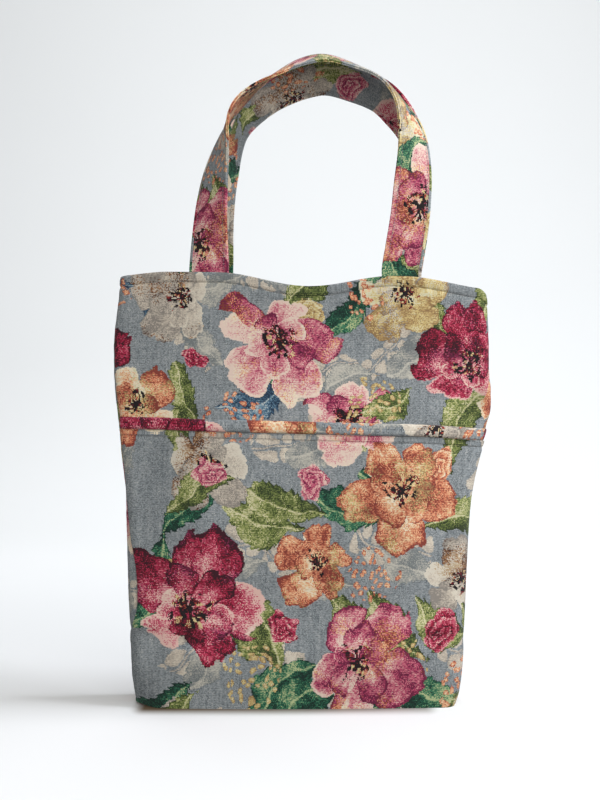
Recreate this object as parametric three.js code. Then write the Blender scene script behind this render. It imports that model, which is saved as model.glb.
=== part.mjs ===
// Tapestry shopper bag: a lined cloth tote with a full-width front pocket and two folded-cloth handles.
// Millimetres, +Z up. X runs along the bag's width and the pocket side faces -Y.
// The body is a loft: a rounded box at the base that closes to a lens-shaped mouth at the rim.
// Every layer of cloth is its own closed sheet, set inside or outside the loft by its own inset.

import * as THREE from 'three';

// Driving sizes of the body
const bagWidth = 343;
const baseWidth = 295;
const baseDepth = 60;
const bodyHeight = 387.5;
const cornerRadius = 13;
const bottomRound = 4;
const bottomOffset = -5;
const topOffset = 1.5;
const offsetEndShare = 0.68;
const baseSetIn = 1.2;

// Rim line: it dips between the handles, slants a little and drops at the side seams
const rimDip = 11;
const rimDipMiddle = 0.02;
const rimDipShare = 0.42;
const rimSlant = 3.6;
const rimDropLeft = 4;
const rimDropLeftStart = 0.72;
const rimDropRight = 9;
const rimDropRightStart = 0.55;

// Cloth and the clearance between layers that are sewn together
const tapestryThickness = 1.2;
const liningThickness = 0.6;
const boardThickness = 2;
const seamClearance = 0.3;
const hemDepth = 35;
const facingStepMargin = 11;
const facingStepRamp = 14;
const facingFade = 6;

// Front pocket and the padded roll along its mouth
const pocketHeight = 243.5;
const pocketSlant = 4.6;
const pocketSlack = 9;
const pocketSlackStart = 55;
const pocketSlackFlat = 0.5;
const pocketSlackEdge = 0.84;
const pocketClearance = 0.5;
const rollHeight = 11;
const rollDepth = 4.6;
const rollSeamDepth = 1.6;
const rollTaperStart = 0.8;

// Handles
const strapWidth = 36;
const strapThickness = 3.4;
const strapEdgeThickness = 2.6;
const strapShoulder = 1;
const strapWall = 0.8;
const coreThickness = 1;
const handleSpacing = 175;
const frontHandleShift = 2.2;
const backHandleShift = 4.7;
const handleTuck = 25;
const hingeRise = 4.5;
const frontRise = 190.5;
const backRise = 179;
const frontCrownTwist = 69;
const backCrownTwist = 48;
const crownSpread = 2.6;

// Facets
const panelColumns = 26;
const wallLevels = 15;
const crowdedShare = 0.62;
const crowding = 0.08;
const facingRows = 5;
const handleEndRows = 3;
const strapSteps = 40;

const degree = Math.PI / 180;
const insideTapestry = tapestryThickness + seamClearance;

// Loft stations, bottom to top. Each row: share of the body height, share of the growth from base
// width to bag width, front and back half depth and straight side as shares of half the base depth,
// and corner radius as a share of the driving radius.
const stations = [
  [0.0, 0.0, 1.0, 1.0, 0.67, 0.69],
  [0.093, 0.175, 1.0, 1.02, 0.6, 0.85],
  [0.32, 0.29, 1.0, 1.02, 0.47, 1.0],
  [0.49, 0.43, 0.985, 0.97, 0.3, 1.0],
  [0.604, 0.746, 0.96, 0.86, 0.1, 0.85],
  [0.746, 0.99, 0.72, 0.69, 0.0, 0.62],
  [0.86, 0.95, 0.67, 0.66, 0.0, 0.54],
  [1.0, 0.79, 0.8, 0.77, 0.0, 0.54],
];

function smoothStep(low, high, value) {
  const share = THREE.MathUtils.clamp((value - low) / (high - low), 0, 1);
  return share * share * (3 - 2 * share);
}

// Rounded hump: one at the middle, nothing beyond the reach on either side
function hump(distance, reach) {
  const share = Math.min(Math.abs(distance / reach), 1);
  return Math.cos((share * Math.PI) / 2) ** 2;
}

// Smooth curve through rows of values whose first column is the position
function followStations(rows, position) {
  const last = rows.length - 1;
  const x = THREE.MathUtils.clamp(position, rows[0][0], rows[last][0]);
  let index = 0;
  while (index < last - 1 && x > rows[index + 1][0]) {
    index += 1;
  }
  const slope = (at, column) => {
    const before = rows[Math.max(at - 1, 0)];
    const after = rows[Math.min(at + 1, last)];
    return (after[column] - before[column]) / (after[0] - before[0]);
  };
  const from = rows[index];
  const to = rows[index + 1];
  const span = to[0] - from[0];
  const t = (x - from[0]) / span;
  const startWeight = (1 + 2 * t) * (1 - t) ** 2;
  const endWeight = t * t * (3 - 2 * t);
  return from.map((value, column) => {
    const slopes = slope(index, column) * t * (1 - t) ** 2 - slope(index + 1, column) * t * t * (1 - t);
    return startWeight * value + endWeight * to[column] + slopes * span;
  });
}

// Half of the body's outline at a height: a straight side, a corner arc and a wide arc that meet smoothly.
// The two limits keep both arcs real on a much flatter body.
const straightLimit = 0.75;
const tipLimit = 0.95;

function halfSection(side, z) {
  const [share, growth, front, back, flat, corner] = followStations(stations, z / bodyHeight);
  const halfDepth = (baseDepth / 2) * (side === 'front' ? front : back);
  const halfWidth = baseWidth / 2 + growth * (bagWidth / 2 - baseWidth / 2);
  const straight = Math.min((baseDepth / 2) * Math.max(flat, 0), straightLimit * halfDepth);
  const tip = Math.min(cornerRadius * corner, tipLimit * (halfDepth - straight));
  const reach = halfWidth - tip;
  const rise = halfDepth - straight;
  const wide = (reach ** 2 + rise ** 2 - tip ** 2) / (2 * (rise - tip));
  const wideAngle = Math.asin(reach / (wide - tip));
  const cornerAngle = Math.PI / 2 - wideAngle;
  const centre = THREE.MathUtils.lerp(bottomOffset, topOffset, smoothStep(0, offsetEndShare, share));
  const wideLength = wide * wideAngle;
  const cornerLength = tip * cornerAngle;
  return {
    halfDepth, halfWidth, straight, tip, wide, wideAngle, centre, wideLength, cornerLength,
    length: wideLength + cornerLength + straight,
  };
}

// The base edge is rounded, so the lowest part of every wall draws in
function edgeInset(z) {
  if (z >= bottomRound) {
    return 0;
  }
  return bottomRound - Math.sqrt(bottomRound ** 2 - (bottomRound - z) ** 2);
}

// Point of one half of the outline, a distance along the cloth from its middle, moved inward by the inset
function outlinePoint(side, z, distance, inset) {
  const section = halfSection(side, z);
  const along = Math.abs(distance);
  const turn = Math.sign(distance) || 1;
  const moved = inset + edgeInset(z);
  let x;
  let depth;
  if (along <= section.wideLength) {
    const angle = along / section.wide;
    const radius = section.wide - moved;
    x = radius * Math.sin(angle);
    depth = section.halfDepth - section.wide + radius * Math.cos(angle);
  } else if (along <= section.wideLength + section.cornerLength) {
    const angle = section.wideAngle + (along - section.wideLength) / section.tip;
    const radius = section.tip - moved;
    x = section.halfWidth - section.tip + radius * Math.sin(angle);
    depth = section.straight + radius * Math.cos(angle);
  } else {
    x = section.halfWidth - moved;
    depth = section.length - along;
  }
  const facing = side === 'front' ? -1 : 1;
  return new THREE.Vector3(section.centre + turn * x, facing * depth, z);
}

// Distance along the cloth from a panel's middle; share runs from -1, the left seam, to 1, the right
function alongPanel(side, share, z) {
  return share * (halfSection(side, z).length - seamClearance / 2);
}

function rimHeight(share) {
  const dip = rimDip * hump(share - rimDipMiddle, rimDipShare);
  const drop = share < 0
    ? rimDropLeft * smoothStep(rimDropLeftStart, 1, -share)
    : rimDropRight * smoothStep(rimDropRightStart, 1, share);
  return bodyHeight - rimSlant * share - dip - drop;
}

function pocketTop(share) {
  return pocketHeight - pocketSlant * share;
}

// The pocket hangs free of the front between its sides and above its bottom seam
function pocketGap(share, z) {
  const across = 1 - smoothStep(pocketSlackFlat, pocketSlackEdge, Math.abs(share));
  return pocketSlack * across * smoothStep(0, pocketSlackStart, z);
}

// Columns lie closer together towards the side seams, where the cloth turns
function columnShare(index, columns) {
  const t = (2 * index) / columns - 1;
  return 0.5 * t + 0.5 * Math.sin((t * Math.PI) / 2);
}

function panelShares() {
  return Array.from({ length: panelColumns + 1 }, (_, column) => columnShare(column, panelColumns));
}

// Heights that every wall layer shares, closer together where the body folds back over the pocket
function levelHeight(index) {
  const t = index / wallLevels;
  const lag = (at) => Math.sin(2 * Math.PI * (at - crowdedShare));
  return bodyHeight * (t - crowding * (lag(t) - lag(0)));
}

// Rows of a wall layer: its lower edge, the shared levels that lie inside it, and its upper edge
function wallRows(shares, bottom, top) {
  const margin = 4;
  const lowest = Math.max(...shares.map(bottom));
  const highest = Math.min(...shares.map(top));
  const between = lowest < bottomRound ? [bottomRound] : [];
  for (let index = 1; index < wallLevels; index += 1) {
    const z = levelHeight(index);
    if (z > lowest + margin && z < highest - margin) {
      between.push(z);
    }
  }
  return (share) => [bottom(share), ...between, top(share)];
}

function evenRows(count, bottom, top) {
  return (share) => Array.from({ length: count + 1 }, (_, row) => (
    THREE.MathUtils.lerp(bottom(share), top(share), row / count)
  ));
}

// Closed sheet of cloth between two insets, lofted over the given shares of the panel's width
function clothSheet({ side, shares = panelShares(), heights, outer, inner }) {
  const positions = [];
  const index = [];
  const columns = shares.length - 1;
  const layers = heights(shares[0]).length;
  for (const inset of [outer, inner]) {
    for (const share of shares) {
      for (const z of heights(share)) {
        const point = outlinePoint(side, z, alongPanel(side, share, z), inset(share, z));
        positions.push(point.x, point.y, point.z);
      }
    }
  }
  const outside = (column, row) => column * layers + row;
  const inside = (column, row) => (columns + 1) * layers + column * layers + row;
  const quad = (a, b, c, d) => {
    if (side === 'front') {
      index.push(a, b, c, a, c, d);
    } else {
      index.push(a, c, b, a, d, c);
    }
  };
  for (let column = 0; column < columns; column += 1) {
    for (let row = 0; row < layers - 1; row += 1) {
      const right = column + 1;
      const up = row + 1;
      quad(outside(column, row), outside(right, row), outside(right, up), outside(column, up));
      quad(inside(column, row), inside(column, up), inside(right, up), inside(right, row));
    }
    const last = layers - 1;
    quad(outside(column, 0), inside(column, 0), inside(column + 1, 0), outside(column + 1, 0));
    quad(outside(column, last), outside(column + 1, last), inside(column + 1, last), inside(column, last));
  }
  for (let row = 0; row < layers - 1; row += 1) {
    quad(outside(0, row), outside(0, row + 1), inside(0, row + 1), inside(0, row));
    quad(outside(columns, row), inside(columns, row), inside(columns, row + 1), outside(columns, row + 1));
  }
  const geometry = new THREE.BufferGeometry();
  geometry.setAttribute('position', new THREE.Float32BufferAttribute(positions, 3));
  geometry.setIndex(index);
  geometry.computeVertexNormals();
  return geometry;
}

// Flat piece with the outline of the body at a height
function basePlate(z, thickness, inset) {
  const points = [];
  for (const side of ['front', 'back']) {
    const turn = side === 'front' ? 1 : -1;
    for (const share of panelShares().slice(0, -1)) {
      const point = outlinePoint(side, z, turn * share * halfSection(side, z).length, inset - edgeInset(z));
      points.push(new THREE.Vector2(point.x, point.y));
    }
  }
  const geometry = new THREE.ExtrudeGeometry(new THREE.Shape(points), { depth: thickness, bevelEnabled: false });
  geometry.translate(0, 0, z);
  return geometry;
}

// Closed sweep of a flat section along frames; a hole loop makes it a sleeve with open ends
function sweepSection(frames, loop, hole = []) {
  const positions = [];
  const index = [];
  const ring = loop.length + hole.length;
  for (const { centre, across, normal } of frames) {
    for (const [p, q] of [...loop, ...hole]) {
      const point = centre.clone().addScaledVector(across, p).addScaledVector(normal, q);
      positions.push(point.x, point.y, point.z);
    }
  }
  const joinRings = (start, count, reversed) => {
    for (let step = 0; step < frames.length - 1; step += 1) {
      for (let corner = 0; corner < count; corner += 1) {
        const next = (corner + 1) % count;
        const a = step * ring + start + corner;
        const b = step * ring + start + next;
        const c = (step + 1) * ring + start + next;
        const d = (step + 1) * ring + start + corner;
        index.push(...(reversed ? [a, c, b, a, d, c] : [a, b, c, a, c, d]));
      }
    }
  };
  joinRings(0, loop.length, false);
  joinRings(loop.length, hole.length, true);
  const flat = (points) => points.map(([p, q]) => new THREE.Vector2(p, q));
  const caps = THREE.ShapeUtils.triangulateShape(flat(loop), hole.length ? [flat(hole)] : []);
  const end = (frames.length - 1) * ring;
  for (const [a, b, c] of caps) {
    index.push(a, c, b, end + a, end + b, end + c);
  }
  const geometry = new THREE.BufferGeometry();
  geometry.setAttribute('position', new THREE.Float32BufferAttribute(positions, 3));
  geometry.setIndex(index);
  geometry.computeVertexNormals();
  return geometry;
}

// Handles: the route of the strap's middle over the mouth, as shares of half the spacing and of the rise
const archRoute = [
  [-0.975, 0.281],
  [-0.903, 0.518],
  [-0.769, 0.754],
  [-0.568, 0.851],
  [-0.218, 0.944],
  [-0.012, 0.984],
  [0.19, 1.0],
  [0.446, 0.972],
  [0.832, 0.884],
  [1.095, 0.665],
  [1.106, 0.328],
];

// Twist of the strap along its length, as a share of the twist at the crown, left root to right root
const twistRoute = [
  [0.0, 0.1],
  [0.07, 0.4],
  [0.154, 0.64],
  [0.205, 0.84],
  [0.3, 1.24],
  [0.424, 1.09],
  [0.49, 1.0],
  [0.625, 1.13],
  [0.68, 1.04],
  [0.725, 0.74],
  [0.79, 0.45],
  [0.86, 0.18],
  [1.0, 0.1],
];

// The back strap leans further over at the crown and turns more evenly
const evenTwistRoute = [
  [0.0, 0.14],
  [0.12, 0.55],
  [0.28, 1.0],
  [0.5, 1.0],
  [0.7, 1.0],
  [0.86, 0.5],
  [1.0, 0.14],
];

const hingeHeight = bodyHeight + hingeRise;
const strapInset = insideTapestry + strapThickness / 2;

function handleDistance(side, which) {
  const shift = side === 'front' ? frontHandleShift : backHandleShift;
  return (which * handleSpacing) / 2 + shift;
}

function strapFrames(side, rise, crownTwist, twists) {
  const facing = side === 'front' ? -1 : 1;
  const root = (which) => outlinePoint(side, hingeHeight, handleDistance(side, which), strapInset);
  const left = root(-1);
  const right = root(1);
  const middle = (left.x + right.x) / 2;
  const half = (right.x - left.x) / 2;
  const points = [left];
  for (const [u, v] of archRoute) {
    const y = THREE.MathUtils.lerp(left.y, right.y, (u + 1) / 2);
    points.push(new THREE.Vector3(middle + u * half, y + facing * crownSpread * v, hingeHeight + v * rise));
  }
  points.push(right);
  const curve = new THREE.CatmullRomCurve3(points, false, 'centripetal');
  const frames = [];
  for (let step = 0; step <= strapSteps; step += 1) {
    const share = step / strapSteps;
    const centre = curve.getPointAt(share);
    const tangent = curve.getTangentAt(share);
    if (step === 0) {
      tangent.set(0, 0, 1);
    } else if (step === strapSteps) {
      tangent.set(0, 0, -1);
    }
    const inward = new THREE.Vector3(0, 1, 0).cross(tangent).normalize();
    const twist = followStations(twists, share)[1] * crownTwist * degree;
    const across = inward.multiplyScalar(Math.cos(twist));
    across.add(new THREE.Vector3(0, facing * Math.sin(twist), 0));
    const normal = across.clone().cross(tangent).normalize().negate();
    across.copy(tangent).cross(normal).negate().normalize();
    frames.push({ centre, across, normal });
  }
  return frames;
}

function rectangleLoop(halfAcross, halfThrough) {
  return [
    [-halfAcross, -halfThrough],
    [halfAcross, -halfThrough],
    [halfAcross, halfThrough],
    [-halfAcross, halfThrough],
  ];
}

// Strap section: a flat sleeve, fuller in the middle and pressed thin where its edges are stitched
function strapLoop() {
  const half = strapWidth / 2;
  const shoulder = half - strapShoulder;
  const crown = strapThickness / 2;
  const edge = strapEdgeThickness / 2;
  const tip = edge / 2;
  return [
    [-half, -tip],
    [-shoulder, -edge],
    [0, -crown],
    [shoulder, -edge],
    [half, -tip],
    [half, tip],
    [shoulder, edge],
    [0, crown],
    [-shoulder, edge],
    [-half, tip],
  ];
}

const cavityHalfWidth = strapWidth / 2 - 2 * strapWall;
const cavityHalfThickness = coreThickness / 2 + seamClearance;
const frontFrames = strapFrames('front', frontRise, frontCrownTwist, twistRoute);
const backFrames = strapFrames('back', backRise, backCrownTwist, evenTwistRoute);

function handleCover(frames) {
  return sweepSection(frames, strapLoop(), rectangleLoop(cavityHalfWidth, cavityHalfThickness));
}

function handleCore(frames) {
  return sweepSection(frames, rectangleLoop(cavityHalfWidth - seamClearance, coreThickness / 2));
}

// The sewn-in end of a strap: it lies between the panel and the facing and stands up to the fold
function handleEnd(side, which) {
  const share = (offset) => {
    const length = halfSection(side, bodyHeight).length;
    return (handleDistance(side, which) + offset * (strapWidth / 2)) / length;
  };
  const low = rimHeight(share(0)) - handleTuck;
  return clothSheet({
    side,
    shares: [-1, -0.5, 0, 0.5, 1].map(share),
    heights: evenRows(handleEndRows, () => low, () => hingeHeight - seamClearance),
    outer: () => insideTapestry,
    inner: () => insideTapestry + strapEdgeThickness,
  });
}

// Hem facing: it steps inward where it covers the sewn-in ends of the straps
function facingInset(side, share, z) {
  const along = share * halfSection(side, z).length;
  const plateau = strapWidth / 2 + facingStepMargin;
  let cover = 0;
  for (const which of [-1, 1]) {
    const away = Math.abs(along - handleDistance(side, which));
    cover = Math.max(cover, 1 - smoothStep(plateau, plateau + facingStepRamp, away));
  }
  const below = rimHeight(share) - z;
  const fade = 1 - smoothStep(hemDepth - facingFade, hemDepth, below);
  return insideTapestry + cover * fade * (strapEdgeThickness + seamClearance);
}

const wallStart = tapestryThickness + seamClearance;
const boardStart = wallStart;
const boardInset = edgeInset(boardStart) + insideTapestry;
const liningFloor = boardStart + boardThickness + seamClearance;
const liningFloorInset = edgeInset(liningFloor) + insideTapestry;
const liningWallStart = liningFloor + liningThickness + seamClearance;

function panel(side) {
  return clothSheet({
    side,
    heights: wallRows(panelShares(), () => wallStart, rimHeight),
    outer: () => 0,
    inner: () => tapestryThickness,
  });
}

function facing(side) {
  return clothSheet({
    side,
    heights: evenRows(facingRows, (share) => rimHeight(share) - hemDepth, rimHeight),
    outer: (share, z) => facingInset(side, share, z),
    inner: (share, z) => facingInset(side, share, z) + tapestryThickness,
  });
}

function lining(side) {
  const top = (share) => rimHeight(share) - hemDepth - seamClearance;
  return clothSheet({
    side,
    heights: wallRows(panelShares(), () => liningWallStart, top),
    outer: () => insideTapestry,
    inner: () => insideTapestry + liningThickness,
  });
}

function pocketPanel() {
  const behind = pocketClearance + liningThickness + seamClearance;
  return clothSheet({
    side: 'front',
    heights: wallRows(panelShares(), () => wallStart, pocketTop),
    outer: (share, z) => -(behind + tapestryThickness + pocketGap(share, z)),
    inner: (share, z) => -(behind + pocketGap(share, z)),
  });
}

function pocketLining() {
  return clothSheet({
    side: 'front',
    heights: wallRows(panelShares(), () => wallStart, pocketTop),
    outer: (share, z) => -(pocketClearance + liningThickness + pocketGap(share, z)),
    inner: (share, z) => -(pocketClearance + pocketGap(share, z)),
  });
}

// Padded roll along the pocket's mouth: a half-round strip that rests on the pocket's folded edge
function pocketRoll() {
  const loop = [
    [0, 0],
    [0.55, 0.12],
    [0.95, 0.4],
    [1, 0.62],
    [0.75, 0.9],
    [0.3, 1],
    [0, 1],
  ];
  const positions = [];
  const index = [];
  for (let column = 0; column <= panelColumns; column += 1) {
    const share = columnShare(column, panelColumns);
    const bottom = pocketTop(share) + seamClearance;
    const gap = pocketGap(share, pocketTop(share));
    const depth = THREE.MathUtils.lerp(rollDepth, rollSeamDepth, smoothStep(rollTaperStart, 1, Math.abs(share)));
    for (const [out, up] of loop) {
      const z = bottom + up * rollHeight;
      const inset = -(pocketClearance + gap + out * depth);
      const point = outlinePoint('front', z, alongPanel('front', share, z), inset);
      positions.push(point.x, point.y, point.z);
    }
  }
  const count = loop.length;
  for (let column = 0; column < panelColumns; column += 1) {
    for (let corner = 0; corner < count; corner += 1) {
      const next = (corner + 1) % count;
      const a = column * count + corner;
      const b = column * count + next;
      index.push(a, a + count, b + count, a, b + count, b);
    }
  }
  const end = panelColumns * count;
  for (let corner = 1; corner < count - 1; corner += 1) {
    index.push(0, corner, corner + 1, end, end + corner + 1, end + corner);
  }
  const geometry = new THREE.BufferGeometry();
  geometry.setAttribute('position', new THREE.Float32BufferAttribute(positions, 3));
  geometry.setIndex(index);
  geometry.computeVertexNormals();
  return geometry;
}

// Colours as seen on the cloth: grey-blue tapestry ground, darker woven edges and a plain lining
const finishes = {
  tapestry: { color: 0x8b959c, roughness: 0.9, metalness: 0 },
  pocket: { color: 0xa0525c, roughness: 0.9, metalness: 0 },
  roll: { color: 0x7f8a5a, roughness: 0.9, metalness: 0 },
  strap: { color: 0xa98f78, roughness: 0.88, metalness: 0 },
  lining: { color: 0xb9ab92, roughness: 0.8, metalness: 0 },
  board: { color: 0x6d665c, roughness: 0.85, metalness: 0 },
};

function addPiece(group, name, geometry, finish) {
  const mesh = new THREE.Mesh(geometry, new THREE.MeshStandardMaterial(finishes[finish]));
  mesh.name = name;
  mesh.material.name = finish;
  group.add(mesh);
}

const bag = new THREE.Group();
const shell = new THREE.Group();
bag.add(shell);

addPiece(shell, 'base_panel', basePlate(0, tapestryThickness, baseSetIn), 'tapestry');
addPiece(shell, 'base_board', basePlate(boardStart, boardThickness, boardInset), 'board');
addPiece(shell, 'base_lining', basePlate(liningFloor, liningThickness, liningFloorInset), 'lining');
for (const side of ['front', 'back']) {
  addPiece(shell, `${side}_panel`, panel(side), 'tapestry');
  addPiece(shell, `${side}_facing`, facing(side), 'tapestry');
  addPiece(shell, `${side}_lining`, lining(side), 'lining');
  addPiece(shell, `${side}_handle_end_left`, handleEnd(side, -1), 'strap');
  addPiece(shell, `${side}_handle_end_right`, handleEnd(side, 1), 'strap');
}
addPiece(shell, 'pocket_panel', pocketPanel(), 'pocket');
addPiece(shell, 'pocket_lining', pocketLining(), 'lining');
addPiece(shell, 'pocket_mouth_roll', pocketRoll(), 'roll');
addPiece(shell, 'front_handle', handleCover(frontFrames), 'strap');
addPiece(shell, 'front_handle_core', handleCore(frontFrames), 'board');
addPiece(shell, 'back_handle', handleCover(backFrames), 'strap');
addPiece(shell, 'back_handle_core', handleCore(backFrames), 'board');

// The bag stands with the middle of its outline on the origin
const box = new THREE.Box3().setFromObject(shell);
shell.position.set(-(box.min.x + box.max.x) / 2, -(box.min.y + box.max.y) / 2, -box.min.z);

export default bag;
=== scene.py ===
"""Tapestry shopper bag: the looks of a lined cloth tote with a wide front pocket.

The body is a loft of sections that change from a rounded box at the base to a lens at the rim. Every
layer of cloth is a sheet set in or out from the loft, and the handles are padded straps swept along
their arches. Metres, +Z up, the pocket side facing -Y.
"""

import math
from types import SimpleNamespace

import bmesh
import bpy
from mathutils import Matrix, Vector, noise
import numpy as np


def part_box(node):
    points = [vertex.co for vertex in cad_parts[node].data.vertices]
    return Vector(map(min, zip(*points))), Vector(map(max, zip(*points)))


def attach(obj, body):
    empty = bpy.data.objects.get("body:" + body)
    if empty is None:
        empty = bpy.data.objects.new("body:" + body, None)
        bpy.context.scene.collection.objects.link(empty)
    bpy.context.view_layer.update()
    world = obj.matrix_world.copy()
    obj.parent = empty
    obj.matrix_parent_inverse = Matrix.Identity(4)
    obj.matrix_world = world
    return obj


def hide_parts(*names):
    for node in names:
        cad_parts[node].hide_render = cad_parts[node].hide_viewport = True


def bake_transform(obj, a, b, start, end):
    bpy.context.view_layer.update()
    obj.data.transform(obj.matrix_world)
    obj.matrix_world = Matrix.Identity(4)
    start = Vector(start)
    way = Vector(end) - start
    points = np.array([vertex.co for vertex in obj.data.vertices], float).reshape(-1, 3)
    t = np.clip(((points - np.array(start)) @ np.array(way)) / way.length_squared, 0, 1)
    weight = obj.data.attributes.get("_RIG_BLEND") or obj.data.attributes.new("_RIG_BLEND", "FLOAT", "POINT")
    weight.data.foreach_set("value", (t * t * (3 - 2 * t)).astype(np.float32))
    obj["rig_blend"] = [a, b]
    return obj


bl_info = {
    "name": "Tapestry shopper bag",
    "version": (1, 0, 0),
    "blender": (4, 5, 0),
    "location": "View3D > Sidebar > Shopper bag",
    "description": "Builds a lined cloth shopper bag with a front pocket and two padded handles",
    "category": "Add Mesh",
}

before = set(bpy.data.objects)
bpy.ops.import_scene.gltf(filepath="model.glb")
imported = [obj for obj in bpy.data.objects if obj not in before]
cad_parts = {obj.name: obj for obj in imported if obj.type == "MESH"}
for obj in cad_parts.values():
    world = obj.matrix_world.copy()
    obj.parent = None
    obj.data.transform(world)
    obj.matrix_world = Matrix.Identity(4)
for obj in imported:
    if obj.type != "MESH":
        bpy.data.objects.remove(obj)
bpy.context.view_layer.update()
MM = 0.001


def length_setting(name, description, default):
    return bpy.props.FloatProperty(name=name, description=description, default=default, min=0.0, unit="LENGTH")


def colour_setting(name, description, red, green, blue):
    """A colour given as it looks on a screen, 0 to 255, and kept as light values."""
    return bpy.props.FloatVectorProperty(
        name=name, description=description, subtype="COLOR", size=3, min=0.0, max=1.0,
        default=[screen_to_light(part) for part in (red, green, blue)],
    )


def screen_to_light(level):
    share = level / 255
    return share / 12.92 if share <= 0.04045 else ((share + 0.055) / 1.055) ** 2.4


class BodySizes(bpy.types.PropertyGroup):
    """Sizes of the body, its rim and its cloth."""

    bag_width: length_setting("Bag width", "Width at the widest height", 343 * MM)
    base_width: length_setting("Base width", "Width of the base", 295 * MM)
    base_depth: length_setting("Base depth", "Depth of the base, front to back", 60 * MM)
    body_height: length_setting("Body height", "Height of the rim at the handles", 387.5 * MM)
    corner_radius: length_setting("Corner radius", "Radius of the upright corners", 13 * MM)
    bottom_round: length_setting("Bottom rounding", "Radius between the walls and the base", 2 * MM)
    rim_dip: length_setting("Rim dip", "How far the rim dips between the handles", 11 * MM)
    tapestry: length_setting("Tapestry thickness", "Thickness of the outer cloth", 1.2 * MM)
    lining: length_setting("Lining thickness", "Thickness of the lining", 0.6 * MM)
    hem_depth: length_setting("Facing depth", "How far the facing reaches down inside the rim", 35 * MM)
    hem_stitch: length_setting("Rim stitch line", "Distance of the topstitching below the rim", 8.5 * MM)
    stitch_pitch: length_setting("Stitch pitch", "Length of one stitch", 3.3 * MM)


class PocketSizes(bpy.types.PropertyGroup):
    """Sizes of the front pocket and of the padded roll along its mouth."""

    height: length_setting("Pocket height", "Height of the pocket's upper edge in the middle", 243.5 * MM)
    slack: length_setting("Pocket slack", "How far the pocket hangs free of the front", 9 * MM)
    roll_height: length_setting("Roll height", "Height of the padded roll", 11 * MM)
    roll_depth: length_setting("Roll depth", "How far the roll stands out", 4.6 * MM)
    stitch_drop: length_setting("Pocket stitch line", "Distance of the stitching below the roll", 4.8 * MM)


class HandleSizes(bpy.types.PropertyGroup):
    """Sizes of the two handles."""

    width: length_setting("Strap width", "Width of a handle's strap", 36 * MM)
    thickness: length_setting("Strap thickness", "Thickness in the middle of the strap", 3.4 * MM)
    edge_thickness: length_setting("Strap edge", "Thickness at the stitched edges", 2.6 * MM)
    core: length_setting("Core thickness", "Thickness of the webbing inside the strap", 1.0 * MM)
    spacing: length_setting("Handle spacing", "Distance between the two ends of a handle", 175 * MM)
    tuck: length_setting("Sewn-in length", "How far the strap's ends reach below the rim", 25 * MM)
    front_rise: length_setting("Front handle rise", "Height of the front arch above its fold", 190.5 * MM)
    back_rise: length_setting("Back handle rise", "Height of the back arch above its fold", 179 * MM)
    stitch_inset: length_setting("Edge stitch line", "Distance of the stitching from the strap's edges", 4.2 * MM)


class PlainColours(bpy.types.PropertyGroup):
    """Colours of the plain cloths and of the thread."""

    lining: colour_setting("Lining", "Plain lining cloth", 196, 184, 160)
    board: colour_setting("Base board", "Stiffener under the lining", 112, 106, 96)
    webbing: colour_setting("Webbing", "Core inside the handles", 198, 190, 174)
    thread: colour_setting("Thread", "Topstitching thread", 120, 126, 132)
    floor: colour_setting("Floor", "Studio floor and backdrop", 241, 243, 245)


def read(group):
    """Plain copy of a group's values, which is quicker to read in a loop."""
    return SimpleNamespace(**{name: getattr(group, name) for name in group.__annotations__})


# Shape of the body

# Loft stations, bottom to top: share of the body height, share of the growth from base width to bag
# width, front and back half depth and straight side as shares of half the base depth, corner share
STATIONS = (
    (0.0, 0.0, 1.0, 1.0, 0.67, 0.69),
    (0.093, 0.175, 1.0, 1.02, 0.6, 0.85),
    (0.32, 0.29, 1.0, 1.02, 0.47, 1.0),
    (0.49, 0.43, 0.985, 0.97, 0.3, 1.0),
    (0.604, 0.746, 0.96, 0.86, 0.1, 0.85),
    (0.746, 0.99, 0.72, 0.69, 0.0, 0.62),
    (0.86, 0.95, 0.67, 0.66, 0.0, 0.54),
    (1.0, 0.79, 0.8, 0.77, 0.0, 0.54),
)
STRAIGHT_LIMIT = 0.75
TIP_LIMIT = 0.95
WALL_START = 0.9 * MM
BOTTOM_OFFSET = -5 * MM
TOP_OFFSET = 1.5 * MM
OFFSET_END_SHARE = 0.68
SEAM_CLEARANCE = 0.3 * MM
POCKET_CLEARANCE = 0.5 * MM
BOARD_CLEARANCE = 1.0 * MM
RIM_DIP_MIDDLE = 0.02
RIM_DIP_SHARE = 0.47
RIM_SLANT = 3.6 * MM
RIM_DROP_LEFT = 4 * MM
RIM_DROP_LEFT_START = 0.72
RIM_DROP_RIGHT = 9 * MM
RIM_DROP_RIGHT_START = 0.55
RIM_CORNER_LEFT = 1.2 * MM
RIM_CORNER_RIGHT = 6.5 * MM
RIM_CORNER_START = 0.93
POCKET_SLANT = 4.6 * MM
POCKET_DROP_RIGHT = 2.4 * MM
POCKET_DROP_RIGHT_START = 0.6
POCKET_SLACK_START = 55 * MM
POCKET_SLACK_FLAT = 0.5
POCKET_SLACK_EDGE = 0.84
ROLL_SEAM_DEPTH = 1.6 * MM
ROLL_TAPER_START = 0.8
FACING_STEP_MARGIN = 11 * MM
FACING_STEP_RAMP = 14 * MM
FACING_FADE = 6 * MM
HINGE_RISE = 4.5 * MM

# Side seams: height, and how far the seam stands in front of the side's middle, left and right
SIDE_SEAMS = (
    (0.0, 0.008, -0.004), (0.04, 0.011, -0.006), (0.06, 0.018, -0.008), (0.075, 0.028, -0.01),
    (0.09, 0.0325, -0.012), (0.125, 0.031, -0.012), (0.155, 0.0245, -0.011), (0.19, 0.017, -0.01),
    (0.225, 0.0125, -0.008), (0.26, 0.007, -0.006), (0.3, 0.003, -0.003), (0.34, 0.001, -0.001),
    (0.4, 0.0, 0.0),
)

# How far the front's lower edge stands forward, in metres, as a curve of the place across, and the
# height that it is gone by
TOE_CURVE = (0.0085, -0.0103, -0.227)
TOE_HEIGHT = 0.1

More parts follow.
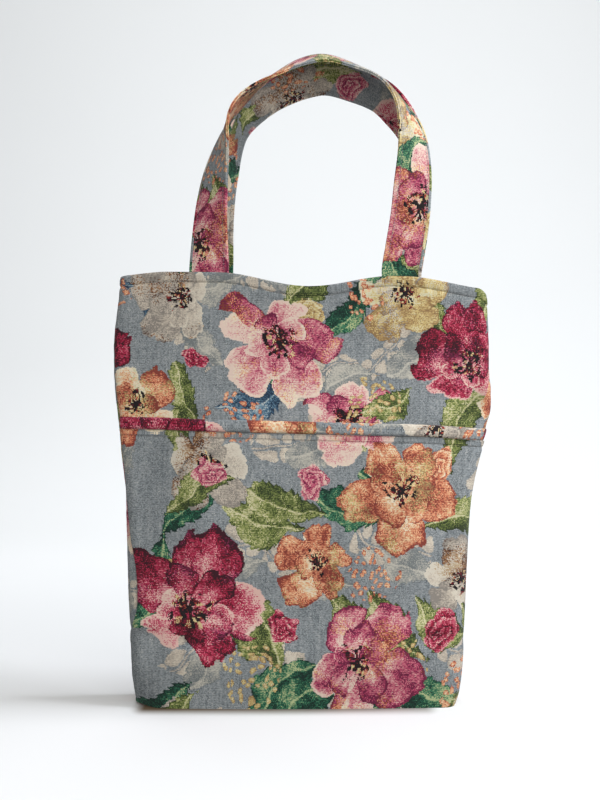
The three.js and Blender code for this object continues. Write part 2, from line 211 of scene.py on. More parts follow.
# The front's lower left corner is rounded off: from and to across, share of the depth that it draws
# back by, how far its edge lifts, and the heights that the two are gone by
CORNER_SPAN = (0.116, 0.15)
CORNER_BACK = 0.5
CORNER_LIFT = 2.2 * MM
CORNER_BACK_TOP = 0.045
CORNER_LIFT_TOP = 0.014
CORNER_LIFT_DEPTH = 0.012

# How far the cloth draws in at the bag's sides: height, left and right
SIDE_DRAW = (
    (0.0, 0.0052, 0.0075), (0.006, 0.006, 0.006), (0.014, 0.0064, 0.0046), (0.05, 0.0062, 0.0042),
    (0.061, 0.0052, 0.005), (0.072, 0.0028, 0.0046), (0.09, 0.001, 0.0046), (0.105, 0.0, 0.0048),
    (0.15, -0.0014, 0.0056), (0.19, -0.0008, 0.0056), (0.215, 0.0, 0.005), (0.236, 0.0004, 0.0036),
    (0.25, 0.0004, 0.0012), (0.266, 0.0, -0.0022), (0.282, -0.001, -0.0012), (0.3, -0.0018, 0.0008),
    (0.324, -0.0026, 0.0008), (0.35, -0.0014, 0.0004), (0.376, 0.0, 0.0), (0.4, 0.0, 0.0),
)

# Waves of the cloth: how long and how high the wide ones and the small ones are
WAVE_DEPTH_STRETCH = 2.5
WIDE_WAVE = (0.088, 1.5 * MM)
SMALL_WAVE = (0.034, 0.6 * MM)
SMALL_WAVE_SHIFT = Vector((7, 3, 5))
HELD_WAVE_SHARE = 0.3
WAVE_FREE_BELOW_RIM = 0.035
WAVE_FREE_ABOVE_BASE = (0.003, 0.03)
POCKET_WIDE_WAVE = (0.07, 0.095, 31.4, 1.4 * MM)
POCKET_SMALL_WAVE = (0.028, 0.036, 37.2, 0.6 * MM)
POCKET_HELD_WAVE_SHARE = 0.25

# Side seams: size of the puckers along and across, their height and reach, and depth and width of the groove
PUCKER_SIZE = (0.008, 0.03)
PUCKER_HEIGHT = 0.45 * MM
PUCKER_REACH = 0.016
SEAM_GROOVE = (0.7 * MM, 0.0018)

# Hem: how much fuller it is above the stitching and where that starts and ends from it, how far its
# upper edge rolls in, and depth and width of the grooves along the stitch lines of rim and pocket
HEM_FULLNESS = 0.8 * MM
HEM_FULL_SPAN = (0.002, -0.003)
HEM_ROLL = (0.9, 2.2 * MM)
HEM_GROOVE = (1.0 * MM, 1.3 * MM)
POCKET_GROOVE = (1.1 * MM, 1.4 * MM)

HANDLE_SHIFT = {"front": 2.2 * MM, "back": 4.7 * MM}
CROWN_TWIST = {"front": math.radians(69), "back": math.radians(42)}
BACK_CROWN_LIFT = 1.3 * MM
CROWN_SPREAD = 2.6 * MM


def clamp(value, low=0.0, high=1.0):
    return max(low, min(high, value))


def lerp(start, end, share):
    return start + (end - start) * share


def smooth_step(low, high, value):
    share = clamp((value - low) / (high - low))
    return share * share * (3 - 2 * share)


def hump(distance, reach):
    """Rounded hump: one at the middle, nothing beyond the reach on either side."""
    return math.cos(min(abs(distance / reach), 1) * math.pi / 2) ** 2


def bell(distance, width):
    return math.exp(-((distance / width) ** 2))


def light_and_wear(distance, lines):
    """Painted light and shade, and wear, at a distance from an edge or a stitch line: the sum of its soft lines."""
    return sum(strength * bell(distance - place, width) for place, width, strength in lines)


def follow_stations(rows, position):
    """Smooth curve through rows of values whose first column is the position."""
    last = len(rows) - 1
    at = clamp(position, rows[0][0], rows[last][0])
    index = 0
    while index < last - 1 and at > rows[index + 1][0]:
        index += 1

    def slope(row, column):
        before = rows[max(row - 1, 0)]
        after = rows[min(row + 1, last)]
        return (after[column] - before[column]) / (after[0] - before[0])

    start, end = rows[index], rows[index + 1]
    span = end[0] - start[0]
    t = (at - start[0]) / span
    start_weight = (1 + 2 * t) * (1 - t) ** 2
    end_weight = t * t * (3 - 2 * t)
    values = []
    for column, value in enumerate(start):
        slopes = slope(index, column) * t * (1 - t) ** 2 - slope(index + 1, column) * t * t * (1 - t)
        values.append(start_weight * value + end_weight * end[column] + slopes * span)
    return values


class Loft:
    """The body's surface in the shared frame, and the lines that are drawn on it."""

    def __init__(self, sizes, pocket, handles):
        self.sizes = sizes
        self.pocket = pocket
        self.handles = handles
        self.inside = sizes.tapestry + SEAM_CLEARANCE
        self.pocket_face = POCKET_CLEARANCE + sizes.lining + SEAM_CLEARANCE + sizes.tapestry
        self.cache = {}
        front_low, front_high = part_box("front_panel")
        base_low, base_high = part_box("base_panel")
        self.shift = Vector((
            (front_low[0] + front_high[0]) / 2 - TOP_OFFSET,
            (base_low[1] + base_high[1]) / 2,
            0,
        ))

    def section(self, side, z):
        """Half of the outline at a height: a straight side, a corner arc and a wide arc that meet smoothly."""
        key = (side, round(z, 6))
        if key in self.cache:
            return self.cache[key]
        sizes = self.sizes
        share, growth, front, back, flat, corner = follow_stations(STATIONS, z / sizes.body_height)
        half_base = sizes.base_depth / 2
        half_depth = half_base * (front if side == "front" else back)
        half_width = lerp(sizes.base_width, sizes.bag_width, growth) / 2
        straight = min(half_base * max(flat, 0), STRAIGHT_LIMIT * half_depth)
        tip = min(sizes.corner_radius * corner, TIP_LIMIT * (half_depth - straight))
        reach = half_width - tip
        rise = half_depth - straight
        wide = (reach ** 2 + rise ** 2 - tip ** 2) / (2 * (rise - tip))
        wide_angle = math.asin(reach / (wide - tip))
        wide_length = wide * wide_angle
        corner_length = tip * (math.pi / 2 - wide_angle)
        made = SimpleNamespace(
            half_depth=half_depth, half_width=half_width, straight=straight, tip=tip, wide=wide,
            wide_angle=wide_angle, wide_length=wide_length, corner_length=corner_length,
            length=wide_length + corner_length + straight,
            centre=lerp(BOTTOM_OFFSET, TOP_OFFSET, smooth_step(0, OFFSET_END_SHARE, share)),
        )
        self.cache[key] = made
        return made

    def edge_inset(self, z):
        """The base edge is rounded, so the lowest part of every wall draws in."""
        radius = self.sizes.bottom_round
        if z >= radius:
            return 0.0
        return radius - math.sqrt(radius ** 2 - (radius - z) ** 2)

    def wrapped(self, side, z, distance):
        """The same place on the other half, where a distance runs past the middle of the bag's side."""
        length = self.section(side, z).length
        if abs(distance) <= length:
            return side, distance
        other = "back" if side == "front" else "front"
        return other, math.copysign(length + self.section(other, z).length - abs(distance), distance)

    def seam(self, side, which, z):
        """Distance from the middle of a half to its left or right seam."""
        forward = follow_stations(SIDE_SEAMS, z)[1 if which < 0 else 2]
        return self.section(side, z).length + (forward if side == "back" else -forward)

    def to_seam(self, side, u, z):
        """How far a place on the cloth is from its nearer side seam."""
        return self.seam(side, -1 if u < 0 else 1, z) - abs(u)

    def share_at(self, side, u, z):
        """A distance along the cloth as a share of the half outline's length."""
        return clamp(u / self.section(side, z).length, -1, 1)

    def along_lining(self, side, share, z):
        """Distance of an inner layer's column; its seams run up the middle of the bag's sides."""
        return share * (self.section(side, z).length - SEAM_CLEARANCE / 2)

    def along_panel(self, side, share, z):
        """Distance of a panel's column, where -1 is the left seam and 1 is the right one."""
        left, right = self.seam(side, -1, z), self.seam(side, 1, z)
        return lerp(SEAM_CLEARANCE / 2 - left, right - SEAM_CLEARANCE / 2, (share + 1) / 2)

    def point(self, side, z, distance, inset):
        """Point of one half of the outline, a distance along the cloth from its middle, moved inward."""
        side, distance = self.wrapped(side, z, distance)
        section = self.section(side, z)
        along = abs(distance)
        turn = -1 if distance < 0 else 1
        moved = inset + self.edge_inset(z)
        if along <= section.wide_length:
            angle = along / section.wide
            radius = section.wide - moved
            x = radius * math.sin(angle)
            depth = section.half_depth - section.wide + radius * math.cos(angle)
        elif along <= section.wide_length + section.corner_length:
            angle = section.wide_angle + (along - section.wide_length) / section.tip
            radius = section.tip - moved
            x = section.half_width - section.tip + radius * math.sin(angle)
            depth = section.straight + radius * math.cos(angle)
        else:
            x = section.half_width - moved
            depth = section.length - along
        facing = -1 if side == "front" else 1
        draw = follow_stations(SIDE_DRAW, z)[1 if turn < 0 else 2]
        x *= 1 - draw / section.half_width
        if side == "front" and z < TOE_HEIGHT:
            level, slope, bend = TOE_CURVE
            toe = level + slope * turn * x + bend * x * x
            depth += toe * smooth_step(TOE_HEIGHT, 0, z) * clamp(depth / section.half_depth)
        lift = 0.0
        if side == "front" and turn < 0 and z < CORNER_BACK_TOP:
            near = smooth_step(*CORNER_SPAN, x)
            depth *= 1 - CORNER_BACK * near * smooth_step(CORNER_BACK_TOP, 0, z)
            lift = CORNER_LIFT * near * smooth_step(CORNER_LIFT_TOP, 0, z) * clamp(depth / CORNER_LIFT_DEPTH)
        return Vector((section.centre + turn * x, facing * depth, z + lift)) + self.shift

    def rim(self, share):
        dip = self.sizes.rim_dip * hump(share - RIM_DIP_MIDDLE, RIM_DIP_SHARE)
        if share < 0:
            drop = RIM_DROP_LEFT * smooth_step(RIM_DROP_LEFT_START, 1, -share)
        else:
            drop = RIM_DROP_RIGHT * smooth_step(RIM_DROP_RIGHT_START, 1, share)
        corner = RIM_CORNER_LEFT if share < 0 else RIM_CORNER_RIGHT
        drop += corner * smooth_step(RIM_CORNER_START, 1, abs(share))
        return self.sizes.body_height - RIM_SLANT * share - dip - drop

    def pocket_top(self, share):
        drop = POCKET_DROP_RIGHT * smooth_step(POCKET_DROP_RIGHT_START, 1, share)
        return self.pocket.height - POCKET_SLANT * share - drop

    def pocket_gap(self, share, z):
        across = 1 - smooth_step(POCKET_SLACK_FLAT, POCKET_SLACK_EDGE, abs(share))
        return self.pocket.slack * across * smooth_step(0, POCKET_SLACK_START, z)

    def handle_distance(self, side, which):
        return which * self.handles.spacing / 2 + HANDLE_SHIFT[side]

    def facing_inset(self, side, share, z):
        """The facing steps inward where it covers the sewn-in ends of the straps."""
        along = share * self.section(side, z).length
        plateau = self.handles.width / 2 + FACING_STEP_MARGIN
        cover = 0.0
        for which in (-1, 1):
            away = abs(along - self.handle_distance(side, which))
            cover = max(cover, 1 - smooth_step(plateau, plateau + FACING_STEP_RAMP, away))
        below = self.rim(share) - z
        fade = 1 - smooth_step(self.sizes.hem_depth - FACING_FADE, self.sizes.hem_depth, below)
        return self.inside + cover * fade * (self.handles.edge_thickness + SEAM_CLEARANCE)

    def relief(self, side, u, z):
        """How far the cloth stands out from the loft: soft waves, and the front's folds."""
        place = self.point(side, z, u, 0)
        spot = Vector((place.x, place.y * WAVE_DEPTH_STRETCH, place.z))
        wide, wide_height = WIDE_WAVE
        small, small_height = SMALL_WAVE
        waves = wide_height * noise.noise(spot / wide) + small_height * noise.noise(spot / small + SMALL_WAVE_SHIFT)
        below = self.rim(self.share_at(side, u, z)) - z
        free = smooth_step(0, WAVE_FREE_BELOW_RIM, below) * smooth_step(*WAVE_FREE_ABOVE_BASE, z)
        out = waves * lerp(HELD_WAVE_SHARE, 1, free)
        if side == "front":
            out += sum(fold_height(fold, u, z) for fold in FRONT_FOLDS)
        return out

    def seam_relief(self, side, u, z):
        """The panels draw in at the side seams and pucker beside them."""
        away = self.to_seam(side, u, z)
        along, across = PUCKER_SIZE
        depth, width = SEAM_GROOVE
        pucker = noise.noise(Vector((z / along, away / across, 9 if side == "front" else 4)))
        return PUCKER_HEIGHT * pucker * bell(away, PUCKER_REACH) - depth * bell(away, width)

    def seam_darkening_and_foot_wear(self, side, u, z):
        """Darker along the side seams, and worn paler along the lower edge."""
        return light_and_wear(self.to_seam(side, u, z), SEAM_DARKENING) + light_and_wear(z, FOOT_WEAR)

    def hem(self, below):
        """The rim's hem: fuller above the stitching, drawn in along it."""
        from_stitch = below - self.sizes.hem_stitch
        roll, roll_width = HEM_ROLL
        depth, width = HEM_GROOVE
        full = HEM_FULLNESS * smooth_step(*HEM_FULL_SPAN, from_stitch) * (1 - roll * bell(below, roll_width))
        return full - depth * bell(from_stitch, width)

    def pocket_out(self, u, z):
        """How far the pocket stands out from the loft, its clearance and thickness not counted."""
        gap = self.pocket_gap(self.share_at("front", u, z), z)
        own = sum(fold_height(fold, u, z) for fold in POCKET_FOLDS)
        for across, up, seed, height in (POCKET_WIDE_WAVE, POCKET_SMALL_WAVE):
            own += height * noise.noise(Vector((u / across, z / up, seed)))
        lowest = max(self.relief("front", u, z), 0)
        return lowest + gap + own * lerp(POCKET_HELD_WAVE_SHARE, 1, gap / self.pocket.slack)


# Soft creases seen in the cloth: start and end as across and up, width, and height, where less than
# nothing is a dent
FRONT_FOLDS = (
    ((0.146, 0.256), (0.166, 0.282), 0.010, -0.0042),
    ((0.120, 0.252), (0.150, 0.300), 0.007, 0.0010),
    ((0.094, 0.250), (0.096, 0.270), 0.0025, -0.0008),
    ((0.025, 0.362), (0.024, 0.377), 0.0025, -0.0008),
    ((0.109, 0.381), (0.1155, 0.371), 0.002, 0.0013),
    ((0.121, 0.378), (0.1275, 0.370), 0.002, 0.0012),
    ((-0.150, 0.330), (-0.110, 0.345), 0.010, -0.0010),
    ((-0.160, 0.270), (-0.130, 0.300), 0.012, 0.0012),
)
POCKET_FOLDS = (
    ((-0.152, 0.069), (-0.130, 0.068), 0.0050, -0.0044),
    ((-0.112, 0.067), (-0.088, 0.063), 0.0085, -0.0042),
    ((-0.150, 0.080), (-0.105, 0.078), 0.008, 0.0022),
    ((-0.125, 0.050), (-0.060, 0.042), 0.009, 0.0012),
    ((0.112, 0.062), (0.150, 0.067), 0.0055, -0.0042),
    ((0.112, 0.074), (0.150, 0.079), 0.007, 0.0014),
    ((-0.146, 0.085), (-0.142, 0.145), 0.004, -0.0016),
    ((-0.085, 0.205), (-0.070, 0.120), 0.014, 0.0010),
    ((0.080, 0.200), (0.095, 0.110), 0.016, -0.0012),
    ((0.148, 0.180), (0.140, 0.120), 0.006, -0.0012),
)

# Painted light on the folds: how much lighter a ridge and how much darker a dent is painted for each metre that it
# stands out, as a share of the wear
FOLD_SHADE = 300.0

# Painted light and shade, and wear, along edges and stitch lines: the place, width and strength of each
# soft line, where a strength above nothing is paler
# The rim's top edge is rubbed paler and has a painted highlight where its fold rounds over
RIM_EDGE_WEAR_AND_HIGHLIGHT = ((0.0, 1.3 * MM, 1.2),)
# Painted shade in the groove of the rim's stitching, and a painted highlight on the fold just below it
RIM_STITCH_PAINTED_LIGHT = ((0.0, 0.9 * MM, -1.5), (2 * MM, 1.3 * MM, 0.5))
# Painted shade along the pocket's edge, under the roll
POCKET_EDGE_PAINTED_SHADE = ((0.0, 1.8 * MM, -1.3),)
# Painted shade in the groove of the pocket's stitching, and painted highlights on the cloth above and below it
POCKET_STITCH_PAINTED_LIGHT = ((0.0, 1.2 * MM, -2.0), (-2.4 * MM, 1.1 * MM, 0.9), (3.2 * MM, 1.6 * MM, 0.4))
# Darker along the side seams
SEAM_DARKENING = ((0.0, 1.5 * MM, -0.7),)
FOOT_WEAR = ((0.0, 4 * MM, 0.5),)

# Painted shade on the hem above the stitching, where its cloth rolls away from the light: how much at the
# left and at the right, where that changes, and how soft the line is
HEM_SHADE = (0.3, 0.75)
HEM_SHADE_SPAN = (-0.02, 0.13)
HEM_SHADE_EDGE = (1 * MM, -1 * MM)

# How many of its widths a fold reaches to its sides, and how it fades out from its middle to its ends
FOLD_REACH = 3
FOLD_FADE = 0.85


def fold_height(fold, u, z):
    start, end, width, height = fold
    run_u, run_z = end[0] - start[0], end[1] - start[1]
    reach_u, reach_z = u - start[0], z - start[1]
    share = (reach_u * run_u + reach_z * run_z) / (run_u ** 2 + run_z ** 2)
    near = clamp(share)
    away = math.hypot(reach_u - near * run_u, reach_z - near * run_z)
    if away > FOLD_REACH * width:
        return 0.0
    return height * bell(away, width) * hump(share - 0.5, FOLD_FADE)


# Mesh making

# Columns and rows of the grids that the sheets are made from
PANEL_GRID = (150, 150)
FACING_GRID = (110, 30)
LINING_GRID = (90, 90)
POCKET_GRID = (160, 110)
FLOOR_GRID = (60, 16)
BOARD_GRID = (60, 8)

# Radius of the cut edges of the tapestry, of the base, and of the lining and the board, the angle that
# makes an edge a cut one, and how far the base stays inside the walls
TAPESTRY_EDGE = 0.5 * MM
BASE_EDGE = 0.4 * MM
LINING_EDGE = 0.2 * MM
SHARP_ANGLE = math.radians(55)
BASE_INSET = 0.2 * MM


def placed_grid(columns, rows, place):
    """A grid whose points are moved to place(across, up), with their cloth coordinates and their painted light and
    shade and wear.
    """
    mesh = bmesh.new()
    bmesh.ops.create_grid(mesh, x_segments=columns, y_segments=rows, size=0.5)
    cloth_u = mesh.verts.layers.float.new("cloth_u")
    cloth_v = mesh.verts.layers.float.new("cloth_v")
    wear_and_painted_light = mesh.verts.layers.float.new("wear_and_painted_light")
    for vertex in mesh.verts:
        point, u, v, vertex[wear_and_painted_light] = place(vertex.co.x + 0.5, vertex.co.y + 0.5)
        vertex.co = point
        vertex[cloth_u] = u
        vertex[cloth_v] = v
    return mesh


def write_cloth_map(mesh, offset):
    cloth_u = mesh.verts.layers.float["cloth_u"]
    cloth_v = mesh.verts.layers.float["cloth_v"]
    cloth = mesh.loops.layers.uv.new("cloth")
    for face in mesh.faces:
        for loop in face.loops:
            loop[cloth].uv = (loop.vert[cloth_u] + offset[0], loop.vert[cloth_v] + offset[1])


def add_object(mesh, name, finish):
    """Turns the mesh into a smooth object of one finish."""
    data = bpy.data.meshes.new(name)
    for face in mesh.faces:
        face.smooth = True
    mesh.to_mesh(data)
    mesh.free()
    made = bpy.data.objects.new(name, data)
    bpy.context.scene.collection.objects.link(made)
    data.materials.append(finish)
    return made


def finish_piece(mesh, name, finish, slot):
    piece = add_object(mesh, name, material(finish))
    return piece


def bag_piece(mesh, node, finish, slot, ending="cloth"):
    """A piece that stays with the bag's body and stands for one node."""
    piece = finish_piece(mesh, f"{node}_{ending}", finish, slot)
    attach(piece, "bag")
    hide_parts(node)
    return piece


def thicken(mesh, thickness, edge_round):
    """Adds a sheet's second layer, for its thickness, and rounds the cut edges.

    Known fault: solidify reads the normals of the level grid that the sheet was made from, so an upright
    wall's second layer lies straight below the first and not behind it. It needs normal_update first.
    """
    bmesh.ops.solidify(mesh, geom=mesh.faces[:], thickness=thickness)
    mesh.normal_update()
    sharp = [edge for edge in mesh.edges if edge.is_manifold and edge.calc_face_angle() > SHARP_ANGLE]
    bmesh.ops.bevel(
        mesh, geom=sharp, offset=edge_round, offset_type="OFFSET", segments=2, profile=0.5,
        affect="EDGES", material=-1, clamp_overlap=True,
    )
    mesh.normal_update()


def stitched_heights(rows, drop, bottom, top):
    """Heights of a wall's rows, closer together at its stitch line and above it, and how many rows."""
    near, near_rows, above_rows = 3 * MM, 12, 7

    def height(up, share):
        low, high = bottom(share), top(share)
        marks = ((0, low), (rows, high - drop - near), (rows + near_rows, high - drop + near),
                 (rows + near_rows + above_rows, high))
        row = up * marks[-1][0]
        for (first, start), (last, end) in zip(marks, marks[1:]):
            if row <= last + 0.001:
                return lerp(start, end, clamp((row - first) / (last - first)))
        return high

    return height, rows + near_rows + above_rows


def level_sheet(loft, z, inset, rise, grid):
    """Grid over the bag's section at a height, moved in from its outline and up."""

    def place(across, up):
        share = clamp(2 * across - 1, -1, 1)
        front = loft.point("front", z, share * loft.section("front", z).length, inset)
        back = loft.point("back", z, share * loft.section("back", z).length, inset)
        point = front.lerp(back, up)
        point.z += rise
        return point, point.x, point.y, 0

    return placed_grid(*grid, place)


def wall_sheet(loft, side, height, inset, columns, rows, along, wear_and_painted_light=lambda u, z: 0.0):
    """Grid over one side of the body; share runs from -1, the left seam, to 1, the right one."""

    def place(across, up):
        share = clamp(2 * across - 1, -1, 1)
        if side == "back":
            share = -share
        z = height(up, share)
        distance = along(side, share, z)
        point = loft.point(side, z, distance, inset(distance, z))
        return point, distance, z, wear_and_painted_light(distance, z)

    return placed_grid(columns, rows, place)


# Materials


class Wire:
    """A socket in a material's formula, with arithmetic on it."""

    def __init__(self, recipe, socket):
        self.recipe = recipe
        self.socket = socket

    def maths(self, operation, *others):
        return self.recipe.node("Math", (self, *others), operation=operation)

    def __add__(self, other):
        return self.maths("ADD", other)

    __radd__ = __add__

    def __sub__(self, other):
        return self.maths("SUBTRACT", other)

    def __rsub__(self, other):
        return self.recipe.node("Math", (other, self), operation="SUBTRACT")

    def __mul__(self, other):
        return self.maths("MULTIPLY", other)

    __rmul__ = __mul__

    def __truediv__(self, other):
        return self.maths("DIVIDE", other)

    def __rtruediv__(self, other):
        return self.recipe.node("Math", (other, self), operation="DIVIDE")

    def __lt__(self, other):
        return self.maths("LESS_THAN", other)

    def __gt__(self, other):
        return self.maths("GREATER_THAN", other)

    def __abs__(self):
        return self.maths("ABSOLUTE")


class Recipe:
    """A material that is being written."""

    def __init__(self, name):
        self.material = bpy.data.materials.new(name)
        self.material.use_nodes = True
        self.tree = self.material.node_tree
        self.shader = self.tree.nodes["Principled BSDF"]

    def node(self, kind, inputs=(), output=0, stops=None, **settings):
        """Adds a node of a type with its settings, then the values or wires of its sockets."""
        made = self.tree.nodes.new("ShaderNode" + kind)
        for key, value in settings.items():
            setattr(made, key, value)
        if stops:
            elements = made.color_ramp.elements
            made.color_ramp.interpolation = stops[0]
            while len(elements) < len(stops) - 1:
                elements.new(0.5)
            for element, (position, colour) in zip(elements, stops[1:]):
                element.position = position
                element.color = (*colour, 1)
        sockets = inputs.items() if isinstance(inputs, dict) else enumerate(inputs)
        for key, value in sockets:
            if isinstance(value, Wire):
                self.tree.links.new(value.socket, made.inputs[key])
            elif value is not None:
                made.inputs[key].default_value = value
        return Wire(self, made.outputs[output])

    def vector(self, operation, *inputs, output=0):
        return self.node("VectorMath", inputs, output, operation=operation)

    def mix(self, factor, low, high):
        return self.node("Mix", {0: factor, 2: low, 3: high}, 0, data_type="FLOAT")

    def mix_vector(self, factor, low, high):
        return self.node("Mix", {0: factor, 4: low, 5: high}, 1, data_type="VECTOR")

    def mix_colour(self, factor, low, high, blend="MIX"):
        return self.node("Mix", {0: factor, 6: low, 7: high}, 2, data_type="RGBA", blend_type=blend)

    def scaled(self, vector, factor):
        return self.node("VectorMath", {0: vector, "Scale": factor}, operation="SCALE")

    def uneven(self, factor, colour, low, high):
        """Colour that varies with a factor between a darker and a lighter share of it."""
        ends = [(*(share * part for part in colour), 1) for share in (low, high)]
        return self.mix_colour(factor, *ends)

    def smooth(self, value, low, high):
        inputs = {"Value": value, "From Min": low, "From Max": high}
        return self.node("MapRange", inputs, interpolation_type="SMOOTHSTEP")

    def finish(self, colour, roughness, sheen, height=None, bump=0.0, strength=1.0):
        """Sets the shader: a colour that varies, how matt it is, and a height in units of the bump."""
        sockets = self.shader.inputs
        self.tree.links.new(colour.socket, sockets["Base Color"])
        sockets["Roughness"].default_value = roughness
        sockets["Specular IOR Level"].default_value = 0.3
        sockets["Sheen Weight"].default_value = sheen
        sockets["Sheen Roughness"].default_value = 0.5
        if height is not None:
            normal = self.node("Bump", {"Strength": strength, "Distance": bump, "Height": height})
            self.tree.links.new(normal.socket, sockets["Normal"])
        return self.material


def light(red, green, blue):
    """A colour as it looks on a screen, turned into light values."""
    return tuple(screen_to_light(part) for part in (red, green, blue))


# The yarns of each family of colours, dark to light, as they look on a screen. A family's neighbour
# below is the one whose yarns are worked into it
YARNS = {
    "ground": ((92, 99, 105), (110, 117, 122), (126, 133, 138), (140, 146, 150), (154, 158, 161), (171, 174, 175)),
    "mist": ((112, 118, 120), (134, 138, 138), (154, 154, 149), (172, 170, 162), (188, 185, 176)),
    "crimson": (
        (52, 16, 28), (98, 18, 38), (140, 28, 54), (168, 46, 76), (188, 84, 106), (204, 132, 142), (214, 178, 170),
    ),
    "rose": (
        (104, 32, 62), (152, 52, 86), (182, 84, 110), (196, 116, 130), (206, 146, 150), (214, 174, 168),
        (220, 198, 186),
    ),
    "peach": (
        (124, 58, 50), (170, 90, 68), (196, 122, 92), (210, 148, 114), (218, 174, 136), (222, 198, 162),
        (224, 212, 190),
    ),
    "yellow": ((142, 114, 78), (176, 148, 100), (196, 176, 122), (206, 194, 150), (206, 202, 176)),
    "cream": ((136, 130, 124), (164, 156, 146), (184, 174, 162), (198, 188, 174), (206, 199, 186)),
    "rust": ((78, 54, 44), (114, 78, 56), (144, 106, 76), (168, 138, 106), (184, 166, 140)),
    "olive": ((48, 58, 34), (76, 90, 48), (106, 118, 64), (138, 146, 88), (176, 176, 126), (200, 196, 160)),
    "green": ((18, 42, 36), (24, 64, 50), (36, 88, 68), (64, 118, 88), (112, 146, 108), (172, 182, 138)),
    "blue": ((34, 52, 72), (56, 84, 108), (86, 116, 138), (128, 152, 166), (176, 184, 184)),
    "plum": ((70, 34, 62), (108, 54, 92), (142, 88, 122), (174, 134, 156), (198, 178, 184)),
    "eye": ((20, 14, 18), (36, 20, 26), (108, 24, 38), (156, 66, 52), (206, 186, 140)),
}
FAMILIES = tuple(YARNS)
WEAVE = (0.95, 0.78)

# The large blooms come back after this width and height, in millimetres
REPEAT = (352.0, 404.0)

# Large blooms: middle across and up, radius, turn in degrees, colour family
BLOOMS_UNDER = (
    (44, 250, 46, 10, "rose"), (-86, 210, 44, 40, "cream"), (10, 128, 38, 60, "peach"),
    (-122, 366, 46, 80, "cream"), (88, 362, 42, 30, "yellow"), (150, 118, 40, 200, "cream"),
)
BLOOMS = (
    (-26, 316, 62, 30, "rose"), (-90, 100, 68, 200, "crimson"), (88, 186, 56, 20, "peach"),
    (146, 316, 52, 150, "crimson"), (66, 38, 60, 290, "rose"), (-158, 268, 44, 35, "peach"),
)


def split(recipe, wire):
    """The parts of a vector."""
    parts = recipe.node("SeparateXYZ", (wire,)).socket.node
    return [Wire(recipe, part) for part in parts.outputs]


def placed_motif(recipe, point, motifs):
    """Place in the nearest listed motif, with its radius as one, then its family and its own number."""
    best = None
    for index, (x, y, radius, turn, family) in enumerate(motifs):
        grown = 1 / radius
        offset = recipe.vector("MULTIPLY_ADD", point, (grown, grown, 1), (-x * grown, -y * grown, 0))
        half = (REPEAT[0] / 2 * grown, REPEAT[1] / 2 * grown, 1)
        local = recipe.vector("WRAP", offset, half, tuple(-part for part in half))
        away = recipe.vector("LENGTH", local, output=1)
        facts = (math.radians(turn), FAMILIES.index(family), index * 3.7)
        if best is None:
            best, nearest, told = local, away, facts
            continue
        closer = away < nearest
        best = recipe.mix_vector(closer, best, local)
        told = recipe.mix_vector(closer, told, facts)
        nearest = nearest.maths("MINIMUM", away)
    turn, family, number = split(recipe, told)
    turned = recipe.node("VectorRotate", {"Vector": best, "Angle": turn}, rotation_type="Z_AXIS")
    return turned, nearest, family, number


def scattered_motif(recipe, point, spacing, radius, shift, families):
    """Place in the nearest of many motifs strewn over the cloth, then its family and its own number."""
    spread = recipe.vector("MULTIPLY_ADD", point, (1 / spacing, 1 / spacing, 1), (*shift, 0))
    cell = recipe.node("TexVoronoi", {"Vector": spread, "Scale": 1.0, "Randomness": 0.55}, 2, voronoi_dimensions="2D")
    luck = split(recipe, Wire(recipe, cell.socket.node.outputs[1]))
    size = luck[2] * 0.4 + 0.72
    scale = (spacing / radius) / size
    local = recipe.vector("SUBTRACT", spread, cell)
    inputs = {"Vector": recipe.scaled(local, scale), "Angle": luck[0] * math.tau}
    turned = recipe.node("VectorRotate", inputs, rotation_type="Z_AXIS")
    family = (luck[1] * families[1]).maths("FLOOR") + FAMILIES.index(families[0])
    return turned, recipe.vector("LENGTH", turned, output=1), family, luck[2] * 40


def layer(recipe, picture, mask, tone, family):
    """Lays a motif's tone and yarn family over the picture so far."""
    return recipe.mix(mask, picture[0], tone), recipe.mix(mask, picture[1], family)


def petal_ring(recipe, angle, radius, petals, number, ragged, reach):
    """Mask, reach, own number and fold of one ring of round petals."""
    turn = angle * (petals / math.tau) + number
    inside = turn.maths("FRACT")
    across = abs(inside - 0.5) * 2
    petal = recipe.node("TexWhiteNoise", {"W": turn.maths("FLOOR")}, noise_dimensions="1D")
    lobe = (1 - across * across).maths("SQRT")
    notch = recipe.smooth(abs(inside - 0.5 - (petal - 0.5) * 0.3), 0.07, 0.0) * 0.07
    edge = (lobe * 0.5 + petal * 0.16 + 0.38 - notch + ragged * 0.09) * reach * (1 - angle.maths("SINE") * 0.16)
    share = radius / edge
    fold = recipe.smooth(inside, 0.12, 0.0)
    return share < 1, share, petal, fold


